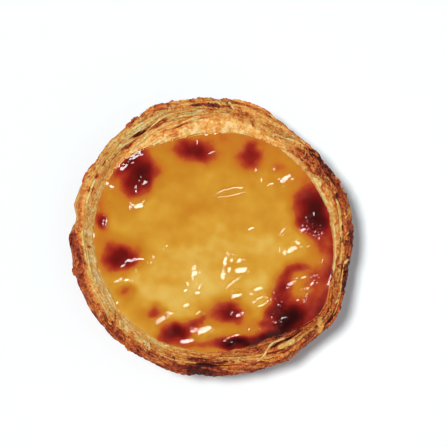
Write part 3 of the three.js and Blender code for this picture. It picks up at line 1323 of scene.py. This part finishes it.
@dataclass
class CustardFill:
    """The set custard, with its wrinkled and blistered skin."""

    form: TartForm
    # The skin's edge, and the body below it.
    columns: int = 600
    skin_rings: int = 155
    overlap: float = 0.45
    gap: float = 0.3
    foot_height: float = 6
    foot_inset: float = 3
    hem_inset: float = 2
    hem_depth: float = 5
    edge_climb: int = 4
    edge_calm: int = 30
    edge_sways: tuple[Streak, ...] = (Streak(28, 6, 0, 0.6), Streak(29, 20, 0, 0.4))
    edge_unevenness: float = 0.25
    # The skin's relief.
    roll_height: float = 0.15
    swells: tuple[Grain, ...] = (Grain(20, 5, 0.16), Grain(21, 2.2, 0.09))
    wrinkles: Grain = Grain(38, 0.8, 0.014)
    fold_warp: tuple[Grain, Grain] = (Grain(36, 1.3, 0.25), Grain(37, 1.3, 0.25))
    crinkling: tuple[Grain, ...] = (Grain(24, 0.5, 0.7), Grain(25, 1.4, 0.6))
    # How dark the skin is, from 0 for yellow to 1 for black, paler at the front partly as painted sheen.
    scorch_warp: tuple[Grain, Grain] = (Grain(22, 3.5, 0.9), Grain(23, 3.5, 0.9))
    front_tone: float = 0.05
    back_tone: float = 0.12
    far_tone: float = 0.05
    edge_tone: float = 0.06
    cloud_tone: float = 0.07
    clouds: Grain = Grain(27, 2.6, 0.04)
    mottle: tuple[Grain, ...] = (Grain(34, 1.8), Grain(35, 0.8, 0.6))
    mottle_tone: float = 0.045
    # Blisters of the skin, rough places on them, and creases.
    blisters: tuple[Blister, ...] = (
        Blister(-4.3, 22.7, 5.2, 2.9, 0.14, 0.7, -6),
        Blister(10.2, 21.5, 3.5, 3.5, 0.2, 0.58),
        Blister(18.0, 18.3, 1.7, 1.7, 0.15, 0.25),
        Blister(-18.5, 17.0, 3.6, 4.1, 0.5, 0.82),
        Blister(-21.6, 13.2, 2.2, 2.6, 0.2, 0.5, 20),
        Blister(-29.0, 3.7, 1.6, 2.0, 0.12, 0.6),
        Blister(-23.6, -5.6, 4.8, 3.5, 0.5, 0.73),
        Blister(-22.6, -14.7, 2.3, 1.8, 0.2, 0.38),
        Blister(-14.9, -20.2, 2.3, 2.0, 0.25, 0.48),
        Blister(-9.3, -26.2, 4.0, 2.8, 0.4, 0.8, 15),
        Blister(-3.6, -23.3, 2.9, 1.9, 0.3, 0.44, 30),
        Blister(4.6, -20.4, 4.8, 3.4, 0.45, 0.7),
        Blister(6.3, -28.5, 4.6, 1.6, 0.3, 0.95),
        Blister(15.2, -27.2, 6.5, 1.1, 0.1, 0.85, 16),
        Blister(20.8, -23.2, 5.4, 3.0, 0.3, 0.95, 41),
        Blister(20.0, -23.0, 4.4, 2.2, 0.0, 0.65, 41),
        Blister(6.0, -29.0, 3.6, 1.2, 0.0, 0.6),
        Blister(19.8, -20.4, 4.0, 3.4, 0.4, 0.72, 25),
        Blister(18.6, -14.6, 2.6, 4.6, 0.35, 0.62, -20),
        Blister(22.0, -9.2, 3.6, 1.7, 0.2, 0.42, 25),
        Blister(28.2, 6.8, 3.4, 6.2, 0.45, 0.86, 8),
        Blister(25.2, 7.2, 3.2, 5.8, 0.0, 0.55, 8),
        Blister(28.0, 3.6, 2.8, 2.6, 0.1, 0.6),
        Blister(32.5, -6.5, 1.1, 10.0, 0.0, 0.42, -3),
        Blister(27.5, -14.5, 5.2, 8.0, 0.0, 0.28, -20),
        Blister(29.4, -1.5, 3.4, 4.0, 0.0, 0.26),
        Blister(30.6, -6.0, 2.2, 8.0, 0.0, 0.14, 4),
        Blister(28.4, -11.6, 2.4, 2.0, 0.0, 0.24),
        Blister(31.0, -10.5, 1.4, 2.4, 0.0, 0.25),
        Blister(27.4, -17.6, 3.4, 4.0, 0.0, 0.24),
        Blister(25.8, -8.6, 2.6, 1.8, 0.1, 0.2, -20),
        Blister(30.5, -17.0, 1.8, 6.5, 0.0, 0.36, -30),
        Blister(12.5, -29.6, 9.0, 1.5, 0.0, 0.5, 16),
        Blister(25.0, -25.0, 8.5, 1.8, 0.0, 0.55, 42),
        Blister(12.0, -25.2, 7.0, 2.8, 0.0, 0.2, 12),
        Blister(-6.6, -25.0, 7.0, 3.6, 0.0, 0.13),
        Blister(-2.0, -29.2, 6.0, 1.2, 0.0, 0.34, 2),
        Blister(14.0, -23.8, 2.2, 2.0, 0.0, 0.4),
        Blister(-19.0, -20.6, 7.5, 2.4, 0.0, 0.1, -42),
        Blister(-25.8, -8.8, 2.4, 1.8, 0.0, 0.2),
        Blister(23.8, 3.2, 2.2, 2.4, 0.0, 0.25),
        Blister(-21.9, 14.6, 5.4, 5.2, 0.0, 0.2, 35),
        Blister(-21.8, 20.0, 1.5, 4.8, 0.0, 0.58, -50),
        Blister(-29.5, 8.0, 1.6, 9.0, 0.0, 0.14, 12),
        Blister(-26.5, -6.0, 4.0, 6.0, 0.0, 0.15),
        # Paler spots of painted sheen round the highlights.
        Blister(9.5, -2.6, 5.0, 3.0, 0.0, -0.05),
        Blister(-5.0, -11.0, 4.0, 4.0, 0.0, -0.03),
        Blister(16.6, -20.4, 2.4, 2.0, 0.0, 0.4),
        Blister(-6.0, 6.0, 7.0, 2.0, 0.0, 0.07, 30),
        Blister(-12.0, -12.0, 5.0, 1.6, 0.0, 0.07, -10),
    )
    crinkles: tuple[Blister, ...] = (
        Blister(-19.6, 21.2, 1.5, 8.0, 0.15, 0.0, -50),
        Blister(27.8, 1.6, 3.4, 2.4, 0.2, 0.0),
        Blister(5.0, -27.6, 3.0, 1.3, 0.19, 0.0),
        Blister(18.2, -21.8, 3.2, 2.8, 0.17, 0.0, 25),
        Blister(18.8, -17.4, 1.6, 2.0, 0.12, 0.0),
        Blister(14.0, -15.6, 3.2, 2.6, 0.11, 0.0, 20),
        Blister(24.0, -14.2, 3.0, 2.8, 0.11, 0.0),
        Blister(12.5, -23.5, 3.6, 1.6, 0.14, 0.0, 20),
        Blister(-27.6, 9.0, 1.5, 7.5, 0.13, 0.0, -18),
    )
    creases: tuple[Crease, ...] = (
        Crease(((-19.0, 15.2), (-19.9, 13.6), (-20.0, 12.0)), 0.7),
        Crease(((-20.6, 8.6), (-19.8, 8.2), (-18.9, 8.4)), 1.3),
        Crease(((-21.8, 9.9), (-21.2, 9.2)), 0.4),
        Crease(((-18.3, 9.2), (-17.8, 9.9)), 0.4),
        Crease(((-23.9, 18.0), (-22.6, 19.2), (-21.2, 20.0)), 0.9),
        Crease(((-20.5, 20.8), (-19.4, 21.5), (-18.4, 21.8)), 0.4),
        Crease(((-14.2, 23.8), (-13.4, 24.0), (-12.6, 24.4)), 0.45),
        Crease(((-23.2, -7.8), (-22.2, -6.7), (-20.6, -6.3)), 0.85),
        Crease(((-20.4, -6.3), (-18.2, -6.2), (-16.4, -7.4)), 0.5),
        Crease(((-15.4, -4.7), (-15.3, -6.0), (-16.2, -7.4)), 0.6),
        Crease(((-24.6, -12.2), (-23.9, -11.7), (-23.0, -11.8)), 0.85),
        Crease(((-21.4, -11.8), (-20.9, -11.0), (-20.3, -10.0)), 1.1),
        Crease(((-13.4, -2.3), (-12.7, -3.3), (-11.8, -2.7)), 0.55),
        Crease(((0.9, 10.8), (3.6, 12.5), (8.6, 13.1)), 0.42),
        Crease(((1.8, 10.6), (5.4, 11.0), (9.2, 11.9)), 0.34),
        Crease(((12.0, 17.8), (12.4, 16.6), (13.4, 15.2)), 0.65),
        Crease(((19.3, 15.0), (19.9, 15.5), (20.6, 15.8)), 1.1),
        Crease(((15.4, 13.6), (16.4, 14.2), (17.4, 13.8)), 0.5),
        Crease(((4.4, -4.8), (3.7, -7.2), (3.1, -11.4)), 0.85),
        Crease(((5.0, -9.1), (6.9, -9.3), (8.8, -9.0)), 1.15),
        Crease(((8.2, -10.6), (6.6, -11.8), (4.4, -13.7)), 0.6),
        Crease(((5.0, -4.7), (5.8, -4.8), (6.6, -5.2)), 0.4),
        Crease(((5.6, -6.4), (6.6, -6.6), (7.6, -6.4)), 0.9),
        Crease(((8.2, -6.4), (9.6, -6.3)), 0.4),
        Crease(((-4.4, -8.6), (-4.6, -10.8), (-5.9, -12.4)), 1.15),
        Crease(((-3.3, -11.2), (-2.9, -12.6), (-3.1, -13.8)), 0.6),
        Crease(((-6.5, -14.4), (-5.0, -15.1), (-3.6, -15.2)), 0.75),
        Crease(((6.1, -16.1), (7.4, -15.8)), 0.95),
        Crease(((6.2, -14.8), (7.4, -14.6)), 0.5),
        Crease(((10.9, -15.5), (12.2, -14.2), (14.2, -13.8)), 0.75),
        Crease(((11.3, -17.8), (12.4, -17.0), (13.6, -16.3)), 0.55),
        Crease(((12.6, -18.8), (14.6, -18.0), (15.4, -16.6)), 0.5),
        Crease(((20.8, -13.2), (21.6, -12.8), (22.4, -12.1)), 1.05),
        Crease(((23.2, -12.9), (23.2, -14.8)), 0.5),
        Crease(((24.1, -11.6), (25.0, -11.0), (26.1, -10.9)), 0.6),
        Crease(((25.2, -14.3), (26.4, -13.4), (27.4, -12.5)), 0.8),
        Crease(((23.3, -17.3), (24.6, -17.5)), 0.75),
        Crease(((25.1, -17.0), (25.6, -15.5)), 0.7),
        Crease(((27.5, -10.9), (28.2, -10.7)), 0.7),
        Crease(((29.4, -7.4), (29.9, -5.8)), 0.5),
        Crease(((19.9, -4.0), (21.6, -3.5), (22.8, -2.0)), 1.4),
        Crease(((18.5, 0.4), (19.0, 1.4), (19.9, 2.2)), 0.55),
        Crease(((10.0, 1.6), (11.0, 2.3), (12.0, 1.6)), 0.45),
        Crease(((24.2, 1.4), (24.9, 2.0), (25.3, 2.5)), 0.8),
        Crease(((27.2, -0.7), (28.2, -0.4), (28.8, 0.3)), 0.5),
        Crease(((29.2, 2.8), (30.2, 3.0)), 0.4),
        Crease(((26.4, 1.6), (27.2, 1.9)), 0.4),
        Crease(((27.6, 0.8), (28.2, 1.2)), 0.4),
        Crease(((29.0, 1.2), (29.6, 1.5)), 0.4),
        Crease(((25.9, 0.4), (26.5, 0.6)), 0.4),
        Crease(((27.9, 6.0), (28.2, 5.2)), 0.35),
        Crease(((30.0, 0.2), (30.5, 0.8)), 0.35),
        Crease(((25.6, -3.1), (26.6, -2.8)), 0.5),
        Crease(((-13.5, -22.8), (-12.6, -22.0), (-11.8, -21.3)), 1.2),
        Crease(((-11.4, -20.8), (-10.0, -20.9), (-9.0, -22.2)), 0.55),
        Crease(((-4.2, -25.7), (-2.7, -25.7), (-1.2, -25.1)), 1.6),
        Crease(((-2.2, -22.8), (-1.2, -23.6)), 0.5),
        Crease(((-7.1, -28.6), (-6.4, -28.5), (-5.8, -28.2)), 1.4),
        Crease(((-3.6, -20.8), (-2.8, -20.4), (-2.0, -20.7)), 0.65),
        Crease(((-6.8, -18.8), (-5.8, -18.4), (-5.0, -19.1)), 0.7),
        Crease(((5.9, -20.8), (7.0, -21.3), (8.2, -20.8)), 0.85),
        Crease(((7.9, -21.3), (8.3, -22.2)), 0.5),
        Crease(((3.6, -28.0), (4.8, -27.4)), 0.6),
        Crease(((5.8, -27.0), (7.2, -26.6)), 0.55),
        Crease(((4.6, -28.8), (6.0, -28.6)), 0.5),
        Crease(((9.6, -26.0), (10.2, -25.0)), 0.45),
        Crease(((11.6, -25.4), (12.6, -24.8)), 0.45),
        Crease(((18.0, -16.8), (18.6, -17.8)), 0.55),
        Crease(((18.6, -18.8), (19.6, -19.1)), 0.65),
        Crease(((17.0, -23.4), (18.0, -23.0)), 0.6),
        Crease(((18.8, -22.2), (19.8, -21.8)), 0.6),
        Crease(((-0.6, 22.2), (0.8, 22.8)), 0.45),
    )

    def edge(self, angle: Array) -> tuple[Array, Array]:
        """Radius and height of the skin's edge, which is baked into the pastry."""
        radius, height = self.form.custard_edge(angle)
        return radius + self.overlap, height + self.edge_unevenness * total(self.edge_sways, angle, angle)

    def share(self, x: Array, y: Array) -> Array:
        """Share of the way from the middle to the edge."""
        radius, _ = self.edge(np.degrees(np.arctan2(y, x)))
        return np.minimum(np.hypot(x, y) / radius, 1)

    def loose(self, share: Array) -> Array:
        """How free the skin is to swell and fold: 1, and down to 0 at the edge."""
        return 1 - share**self.edge_calm

    def calm_height(self, x: Array, y: Array) -> Array:
        """Works out the skin without its folds and crinkles.

        Args:
            x: Places to the right.
            y: Places to the back.

        Returns:
            Its height at each place.
        """
        _, edge = self.edge(np.degrees(np.arctan2(y, x)))
        share = self.share(x, y)
        swell = self.roll_height * np.sin(x / 4.5 + 0.8) * np.sin(y / 5.5)
        swell += total(self.swells, x, y)
        for blister in self.blisters:
            swell += blister.high * fade(blister.distance(x, y))
        level = self.form.custard_level
        return level + (edge - level) * share**self.edge_climb + self.loose(share) * swell

    def skin_height(self, x: Array, y: Array) -> Array:
        """Works out the skin with its folds and crinkles.

        Args:
            x: Places to the right.
            y: Places to the back.

        Returns:
            Its height at each place.
        """
        folds = self.wrinkles.over(x, y)
        warped = warp(x, y, self.fold_warp)
        for crease in self.creases:
            folds += crease.over(*warped, self.calm_height)
        rough = total(self.crinkling, x, y)
        for crinkle in self.crinkles:
            folds += crinkle.high * rough * fade(crinkle.distance(x, y), power=4)
        return self.calm_height(x, y) + self.loose(self.share(x, y)) * folds

    def scorching(self, x: Array, y: Array) -> Array:
        """Works out how dark the oven has made the skin, with a paler front that partly stands for painted
        sheen, and spots of painted sheen round the highlights.

        Args:
            x: Places to the right.
            y: Places to the back.

        Returns:
            How dark each place is, from 0 for yellow to 1 for black.
        """
        # Darker towards the back; the paler front partly stands for a broad painted sheen.
        tone = self.front_tone + self.back_tone * smoothstep(-16, 16, y)
        tone += self.far_tone * smoothstep(16, 27, y)
        tone += self.edge_tone * smoothstep(0.8, 1, self.share(x, y))
        tone += self.cloud_tone * Noise(26)(x / 8, y / 6, 0.5)
        tone += self.clouds.over(x, y)
        light = 1 - np.clip(tone, 0, 1)
        warped = warp(x, y, self.scorch_warp)
        for blister in self.blisters:
            light *= 1 - blister.scorch * fade(blister.distance(*warped), 1.05, 2.4)
        mottle = self.mottle_tone * total(self.mottle, x, y)
        return 1 - light + mottle * smoothstep(0.85, 0.6, light) * smoothstep(0.05, 0.3, light)

    def build(self) -> bpy.types.Object:
        """Makes the piece.

        Returns:
            The piece, in the scene.
        """
        form = self.form
        angle = full_turn(self.columns)
        edge_radius, edge_height = self.edge(angle)
        radius = np.linspace(1, 0, self.skin_rings) * edge_radius
        x, y = radius * np.cos(np.radians(angle)), radius * np.sin(np.radians(angle))
        floor = form.floor_thickness + self.gap
        side = form.wall(angle, self.foot_height) - form.wall_thickness
        hidden = [
            (0, floor),
            (side - self.foot_inset, floor),
            (side, self.foot_height),
            (edge_radius - self.hem_inset, edge_height - self.hem_depth),
        ]
        points = Grid.joined(angle, [*hidden, (radius, self.skin_height(x, y))]).points
        points[:, -1] = points[:, -1].mean(axis=0)
        scorches = np.pad(self.scorching(x, y), ((0, 0), (len(hidden), 0)))
        return piece_of("custard_baked", [Shell(points, scorches, Mark.SCORCH_AND_PAINTED_SHEEN)])


@dataclass
class Nodes:
    """Builds one material's node tree."""

    name: str
    material: bpy.types.Material = field(init=False)
    tree: bpy.types.NodeTree = field(init=False)
    shader: bpy.types.Node = field(init=False)
    coordinates: bpy.types.NodeSocket = field(init=False)

    def __post_init__(self) -> None:
        """Starts with an empty tree and a Principled shader."""
        self.material = bpy.data.materials.new(self.name)
        self.material.use_nodes = True
        self.tree = self.material.node_tree
        self.tree.nodes.clear()
        self.shader = self.add("ShaderNodeBsdfPrincipled")
        output = self.add("ShaderNodeOutputMaterial")
        self.join(self.shader.outputs["BSDF"], output.inputs["Surface"])
        self.coordinates = self.add("ShaderNodeTexCoord").outputs["Object"]

    def add(self, kind: str, **settings: object) -> bpy.types.Node:
        """Adds a node.

        Args:
            kind: Its type.
            **settings: Its properties.

        Returns:
            The node.
        """
        node = self.tree.nodes.new(kind)
        for name, value in settings.items():
            setattr(node, name, value)
        return node

    def join(self, source: bpy.types.NodeSocket, target: bpy.types.NodeSocket) -> None:
        """Links two sockets."""
        self.tree.links.new(source, target)

    def mark(self, mark: Mark) -> bpy.types.NodeSocket:
        """Reads a value that the sculpting left."""
        return self.add("ShaderNodeAttribute", attribute_name=mark.value).outputs["Fac"]

    def noise(self, pitch: float, detail: float = 3, roughness: float = 0.6) -> bpy.types.NodeSocket:
        """Adds cloudy noise.

        Args:
            pitch: Distance between features in millimetres.
            detail: How many finer scales it has.
            roughness: How strong the finer scales are.

        Returns:
            Its value, from 0 to 1.
        """
        node = self.add("ShaderNodeTexNoise")
        node.inputs["Scale"].default_value = 1 / (pitch * MM)
        node.inputs["Detail"].default_value = detail
        node.inputs["Roughness"].default_value = roughness
        self.join(self.coordinates, node.inputs["Vector"])
        return node.outputs["Fac"]

    def add_scaled(
        self, value: bpy.types.NodeSocket, extra: bpy.types.NodeSocket, low: float, high: float
    ) -> bpy.types.NodeSocket:
        """Adds a stretched value to another.

        Args:
            value: What it is added to.
            extra: The value to stretch, from 0 to 1.
            low: What its 0 becomes.
            high: What its 1 becomes.

        Returns:
            The sum.
        """
        node = self.add("ShaderNodeMath", operation="MULTIPLY_ADD")
        self.join(extra, node.inputs[0])
        node.inputs[1].default_value = high - low
        shifted = self.add("ShaderNodeMath", operation="ADD")
        self.join(value, shifted.inputs[0])
        shifted.inputs[1].default_value = low
        self.join(shifted.outputs[0], node.inputs[2])
        return node.outputs[0]

    def above(self, value: bpy.types.NodeSocket, low: float, high: float) -> bpy.types.NodeSocket:
        """Picks out where a value is high.

        Args:
            value: The value.
            low: Where the result is 0.
            high: Where the result is 1.

        Returns:
            The result, which eases from 0 to 1.
        """
        node = self.add("ShaderNodeMapRange", interpolation_type="SMOOTHSTEP")
        self.join(value, node.inputs["Value"])
        node.inputs["From Min"].default_value = low
        node.inputs["From Max"].default_value = high
        return node.outputs["Result"]

    def ramp(
        self, value: bpy.types.NodeSocket, stops: tuple[tuple[float, Colour], ...]
    ) -> bpy.types.NodeSocket:
        """Colours a value.

        Args:
            value: The value.
            stops: Places on it, from 0 to 1, and the colour at each.

        Returns:
            The colour.
        """
        node = self.add("ShaderNodeValToRGB")
        elements = node.color_ramp.elements
        while len(elements) < len(stops):
            elements.new(0.5)
        for element, (place, colour) in zip(elements, stops):
            element.position = place
            element.color = (*colour, 1)
        self.join(value, node.inputs["Fac"])
        return node.outputs["Color"]

    def bump(self, height: bpy.types.NodeSocket, depth: float) -> None:
        """Gives the shader a bump.

        Args:
            height: The height, from 0 to 1.
            depth: What its 1 stands for, in millimetres.
        """
        node = self.add("ShaderNodeBump")
        node.inputs["Strength"].default_value = 1
        node.inputs["Distance"].default_value = depth * MM
        self.join(height, node.inputs["Height"])
        self.join(node.outputs["Normal"], self.shader.inputs["Normal"])

    def set(self, **values: object) -> None:
        """Sets constant sockets of the shader, named with underscores for spaces."""
        for name, value in values.items():
            self.shader.inputs[name.replace("_", " ")].default_value = value


@dataclass(frozen=True)
class PastryFinish:
    """Baked puff pastry: matt and crumbly, from cream through gold and orange-brown to burnt."""

    cream: Colour = (0.94, 0.675, 0.32)
    pale: Colour = (0.87, 0.48, 0.13)
    gold: Colour = (0.8, 0.335, 0.068)
    orange: Colour = (0.65, 0.167, 0.036)
    brown: Colour = (0.42, 0.072, 0.022)
    dark: Colour = (0.24, 0.026, 0.011)
    burnt: Colour = (0.055, 0.009, 0.007)
    roughness: float = 0.55

    def material(self) -> bpy.types.Material:
        """Makes the material.

        Returns:
            The material, which reads the browning, painted shade and painted highlights included.
        """
        nodes = Nodes("baked_pastry")
        tone = nodes.add_scaled(nodes.mark(Mark.BROWNING_AND_PAINTED_LIGHT), nodes.noise(1.5, 5, 0.8), -0.26, 0.26)
        grain = nodes.noise(0.45, 2, 0.7)
        tone = nodes.add_scaled(tone, grain, -0.2, 0.2)
        tone = nodes.add_scaled(tone, nodes.above(nodes.noise(0.8, 2), 0.56, 0.64), 0, 0.16)
        tone = nodes.add_scaled(tone, nodes.above(nodes.noise(0.7, 2, 0.5), 0.55, 0.63), 0, -0.14)
        colours = (self.cream, self.pale, self.gold, self.orange, self.brown, self.dark, self.burnt)
        stops = tuple(zip((0.0, 0.15, 0.32, 0.48, 0.63, 0.78, 1.0), colours))
        nodes.join(nodes.ramp(tone, stops), nodes.shader.inputs["Base Color"])
        nodes.bump(grain, 0.35)
        nodes.set(Roughness=self.roughness, Specular_IOR_Level=0.08)
        nodes.set(Subsurface_Weight=0.5, Subsurface_Radius=(1.0, 0.5, 0.2), Subsurface_Scale=0.8 * MM)
        return nodes.material


@dataclass(frozen=True)
class CustardFinish:
    """Set egg custard: a wet, glossy, slightly translucent skin, caramelised on its blisters."""

    # Palest yellow, reached at the paler front and in the spots of painted sheen.
    pale: Colour = (0.76, 0.475, 0.1)
    yellow: Colour = (0.675, 0.33, 0.033)
    gold: Colour = (0.585, 0.233, 0.016)
    amber: Colour = (0.57, 0.17, 0.016)
    copper: Colour = (0.46, 0.062, 0.014)
    crimson: Colour = (0.33, 0.02, 0.011)
    maroon: Colour = (0.19, 0.007, 0.005)
    dark: Colour = (0.09, 0.005, 0.004)
    black: Colour = (0.02, 0.002, 0.002)

    def material(self) -> bpy.types.Material:
        """Makes the material.

        Returns:
            The material, which reads the scorch.
        """
        nodes = Nodes("baked_custard")
        tone = nodes.add_scaled(nodes.mark(Mark.SCORCH_AND_PAINTED_SHEEN), nodes.noise(3, 4), -0.04, 0.04)
        bright = (self.pale, self.yellow, self.gold, self.amber)
        scorched = (self.copper, self.crimson, self.maroon, self.dark, self.black)
        stops = tuple(zip((0.0, 0.1, 0.2, 0.32, 0.43, 0.56, 0.7, 0.85, 1.0), bright + scorched))
        nodes.join(nodes.ramp(tone, stops), nodes.shader.inputs["Base Color"])
        nodes.set(Roughness=0.25, Specular_IOR_Level=0.0)
        nodes.set(Subsurface_Weight=0.2, Subsurface_Radius=(1.0, 0.4, 0.1), Subsurface_Scale=1.0 * MM)
        nodes.set(Coat_Weight=1.0, Coat_Roughness=0.07, Coat_IOR=1.4)
        return nodes.material


class Shows(Enum):
    """What a light acts on."""

    COLOUR = "colour"
    GLOSS = "gloss"


@dataclass(frozen=True)
class Lamp:
    """A light aimed at the tart.

    Attributes:
        name: Its name.
        azimuth: Direction it stands in.
        elevation: Angle above the floor.
        power: Watts, or watts a square metre for a sun.
        size: Metres across, or degrees for a sun.
        shows: Whether it lights colours or makes highlights.
        sun: Whether it is a sun.
        distance: Metres from the tart.
        colour: Its colour.
    """

    name: str
    azimuth: float
    elevation: float
    power: float
    size: float
    shows: Shows
    sun: bool = False
    distance: float = 0.6
    colour: Colour = (1, 1, 1)

    def build(self, target: Vector) -> None:
        """Adds the light to the scene.

        Args:
            target: Place that it is aimed at, in metres.
        """
        data = bpy.data.lights.new(self.name, "SUN" if self.sun else "AREA")
        data.energy = self.power
        data.color = self.colour
        if self.sun:
            data.angle = math.radians(self.size)
        else:
            data.size = self.size
        lamp = bpy.data.objects.new(self.name, data)
        azimuth, elevation = math.radians(self.azimuth), math.radians(self.elevation)
        flat = math.cos(elevation)
        away = Vector((flat * math.cos(azimuth), flat * math.sin(azimuth), math.sin(elevation)))
        lamp.location = target + self.distance * away
        lamp.rotation_euler = away.to_track_quat("Z", "Y").to_euler()
        lamp.visible_glossy = self.shows != Shows.COLOUR
        lamp.visible_diffuse = self.shows != Shows.GLOSS
        bpy.context.scene.collection.objects.link(lamp)


@dataclass
class Studio:
    """White floor, soft light and the camera, which looks almost straight down."""

    form: TartForm
    floor_size: float = 3.0
    floor_colour: Colour = (0.91, 0.955, 0.975)
    elevation: float = 82
    distance: float = 0.9
    lens: float = 272
    aim_right: float = 3.35
    aim_back: float = 3.2
    world: float = 0.08
    world_colour: Colour = (0.65, 0.88, 1)
    lamps: tuple[Lamp, ...] = (
        Lamp("drop_light", 197, 80.6, 2.65, 8, Shows.COLOUR, sun=True, colour=(1, 0.985, 0.97)),
        Lamp("sky", -20, 74, 0.76, 100, Shows.COLOUR, sun=True, colour=(0.8, 0.96, 1)),
        Lamp("front_box", -75, 57, 4.0, 0.22, Shows.GLOSS),
        Lamp("left_box", 165, 54, 1.0, 0.12, Shows.GLOSS),
        Lamp("right_box", 10, 58, 1.9, 0.16, Shows.GLOSS),
        Lamp("corner_box", -42, 55, 1.6, 0.16, Shows.GLOSS),
        Lamp("haze", 130, 59, 0.08, 0.26, Shows.GLOSS, colour=(1, 0.85, 0.65)),
    )

    def build(self) -> None:
        """Adds everything to the scene."""
        target = Vector((0, 0, self.form.rim_height * MM))
        for lamp in self.lamps:
            lamp.build(target)
        self._floor()
        self._camera()
        world = bpy.data.worlds.new("studio")
        world.use_nodes = True
        background = world.node_tree.nodes["Background"]
        background.inputs["Color"].default_value = (*self.world_colour, 1)
        background.inputs["Strength"].default_value = self.world
        bpy.context.scene.world = world
        bpy.context.scene.view_settings.view_transform = "Standard"

    def _floor(self) -> None:
        """Adds the floor."""
        bm = bmesh.new()
        bmesh.ops.create_grid(bm, x_segments=1, y_segments=1, size=self.floor_size / 2)
        mesh = bpy.data.meshes.new("floor")
        bm.to_mesh(mesh)
        bm.free()
        floor = bpy.data.objects.new("floor", mesh)
        bpy.context.scene.collection.objects.link(floor)
        nodes = Nodes("white_floor")
        nodes.set(Base_Color=(*self.floor_colour, 1), Roughness=0.9)
        mesh.materials.append(nodes.material)

    def _camera(self) -> None:
        """Adds the camera."""
        data = bpy.data.cameras.new("camera")
        data.lens = self.lens
        data.clip_start = 0.01
        camera = bpy.data.objects.new("camera", data)
        elevation = math.radians(self.elevation)
        away = Vector((0, -math.cos(elevation), math.sin(elevation)))
        aim = Vector((self.aim_right, self.aim_back, self.form.rim_height)) * MM
        camera.location = aim + self.distance * away
        camera.rotation_euler = away.to_track_quat("Z", "Y").to_euler()
        bpy.context.scene.collection.objects.link(camera)
        bpy.context.scene.camera = camera


def place(piece: bpy.types.Object, finish: bpy.types.Material, slot: Slot, node: Node | None = None) -> None:
    """Dresses a piece and puts it in the frame.

    Args:
        piece: The finished piece.
        finish: Its material.
        slot: The record's slot that it takes its finish from. Not used.
        node: The solid that it stands for, if any.
    """
    piece.data.materials.append(finish)
    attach(piece, "root")
    if node is not None:
        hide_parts(node.value)
    LOG.info("%s: %d faces", piece.name, len(piece.data.polygons))


def main() -> None:
    """Builds the tart and its studio."""
    logging.basicConfig(level=logging.INFO, format="%(name)s: %(message)s")
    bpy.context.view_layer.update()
    form = TartForm()
    pastry = PastryFinish().material()
    cup = PastryCup(form)
    place(cup.build(), pastry, Slot.PASTRY, Node.CUP)
    place(Leaves(cup).build(), pastry, Slot.PASTRY)
    place(CustardFill(form).build(), CustardFinish().material(), Slot.CUSTARD, Node.CUSTARD)
    Studio(form).build()


if __name__ == "__main__":
    main()
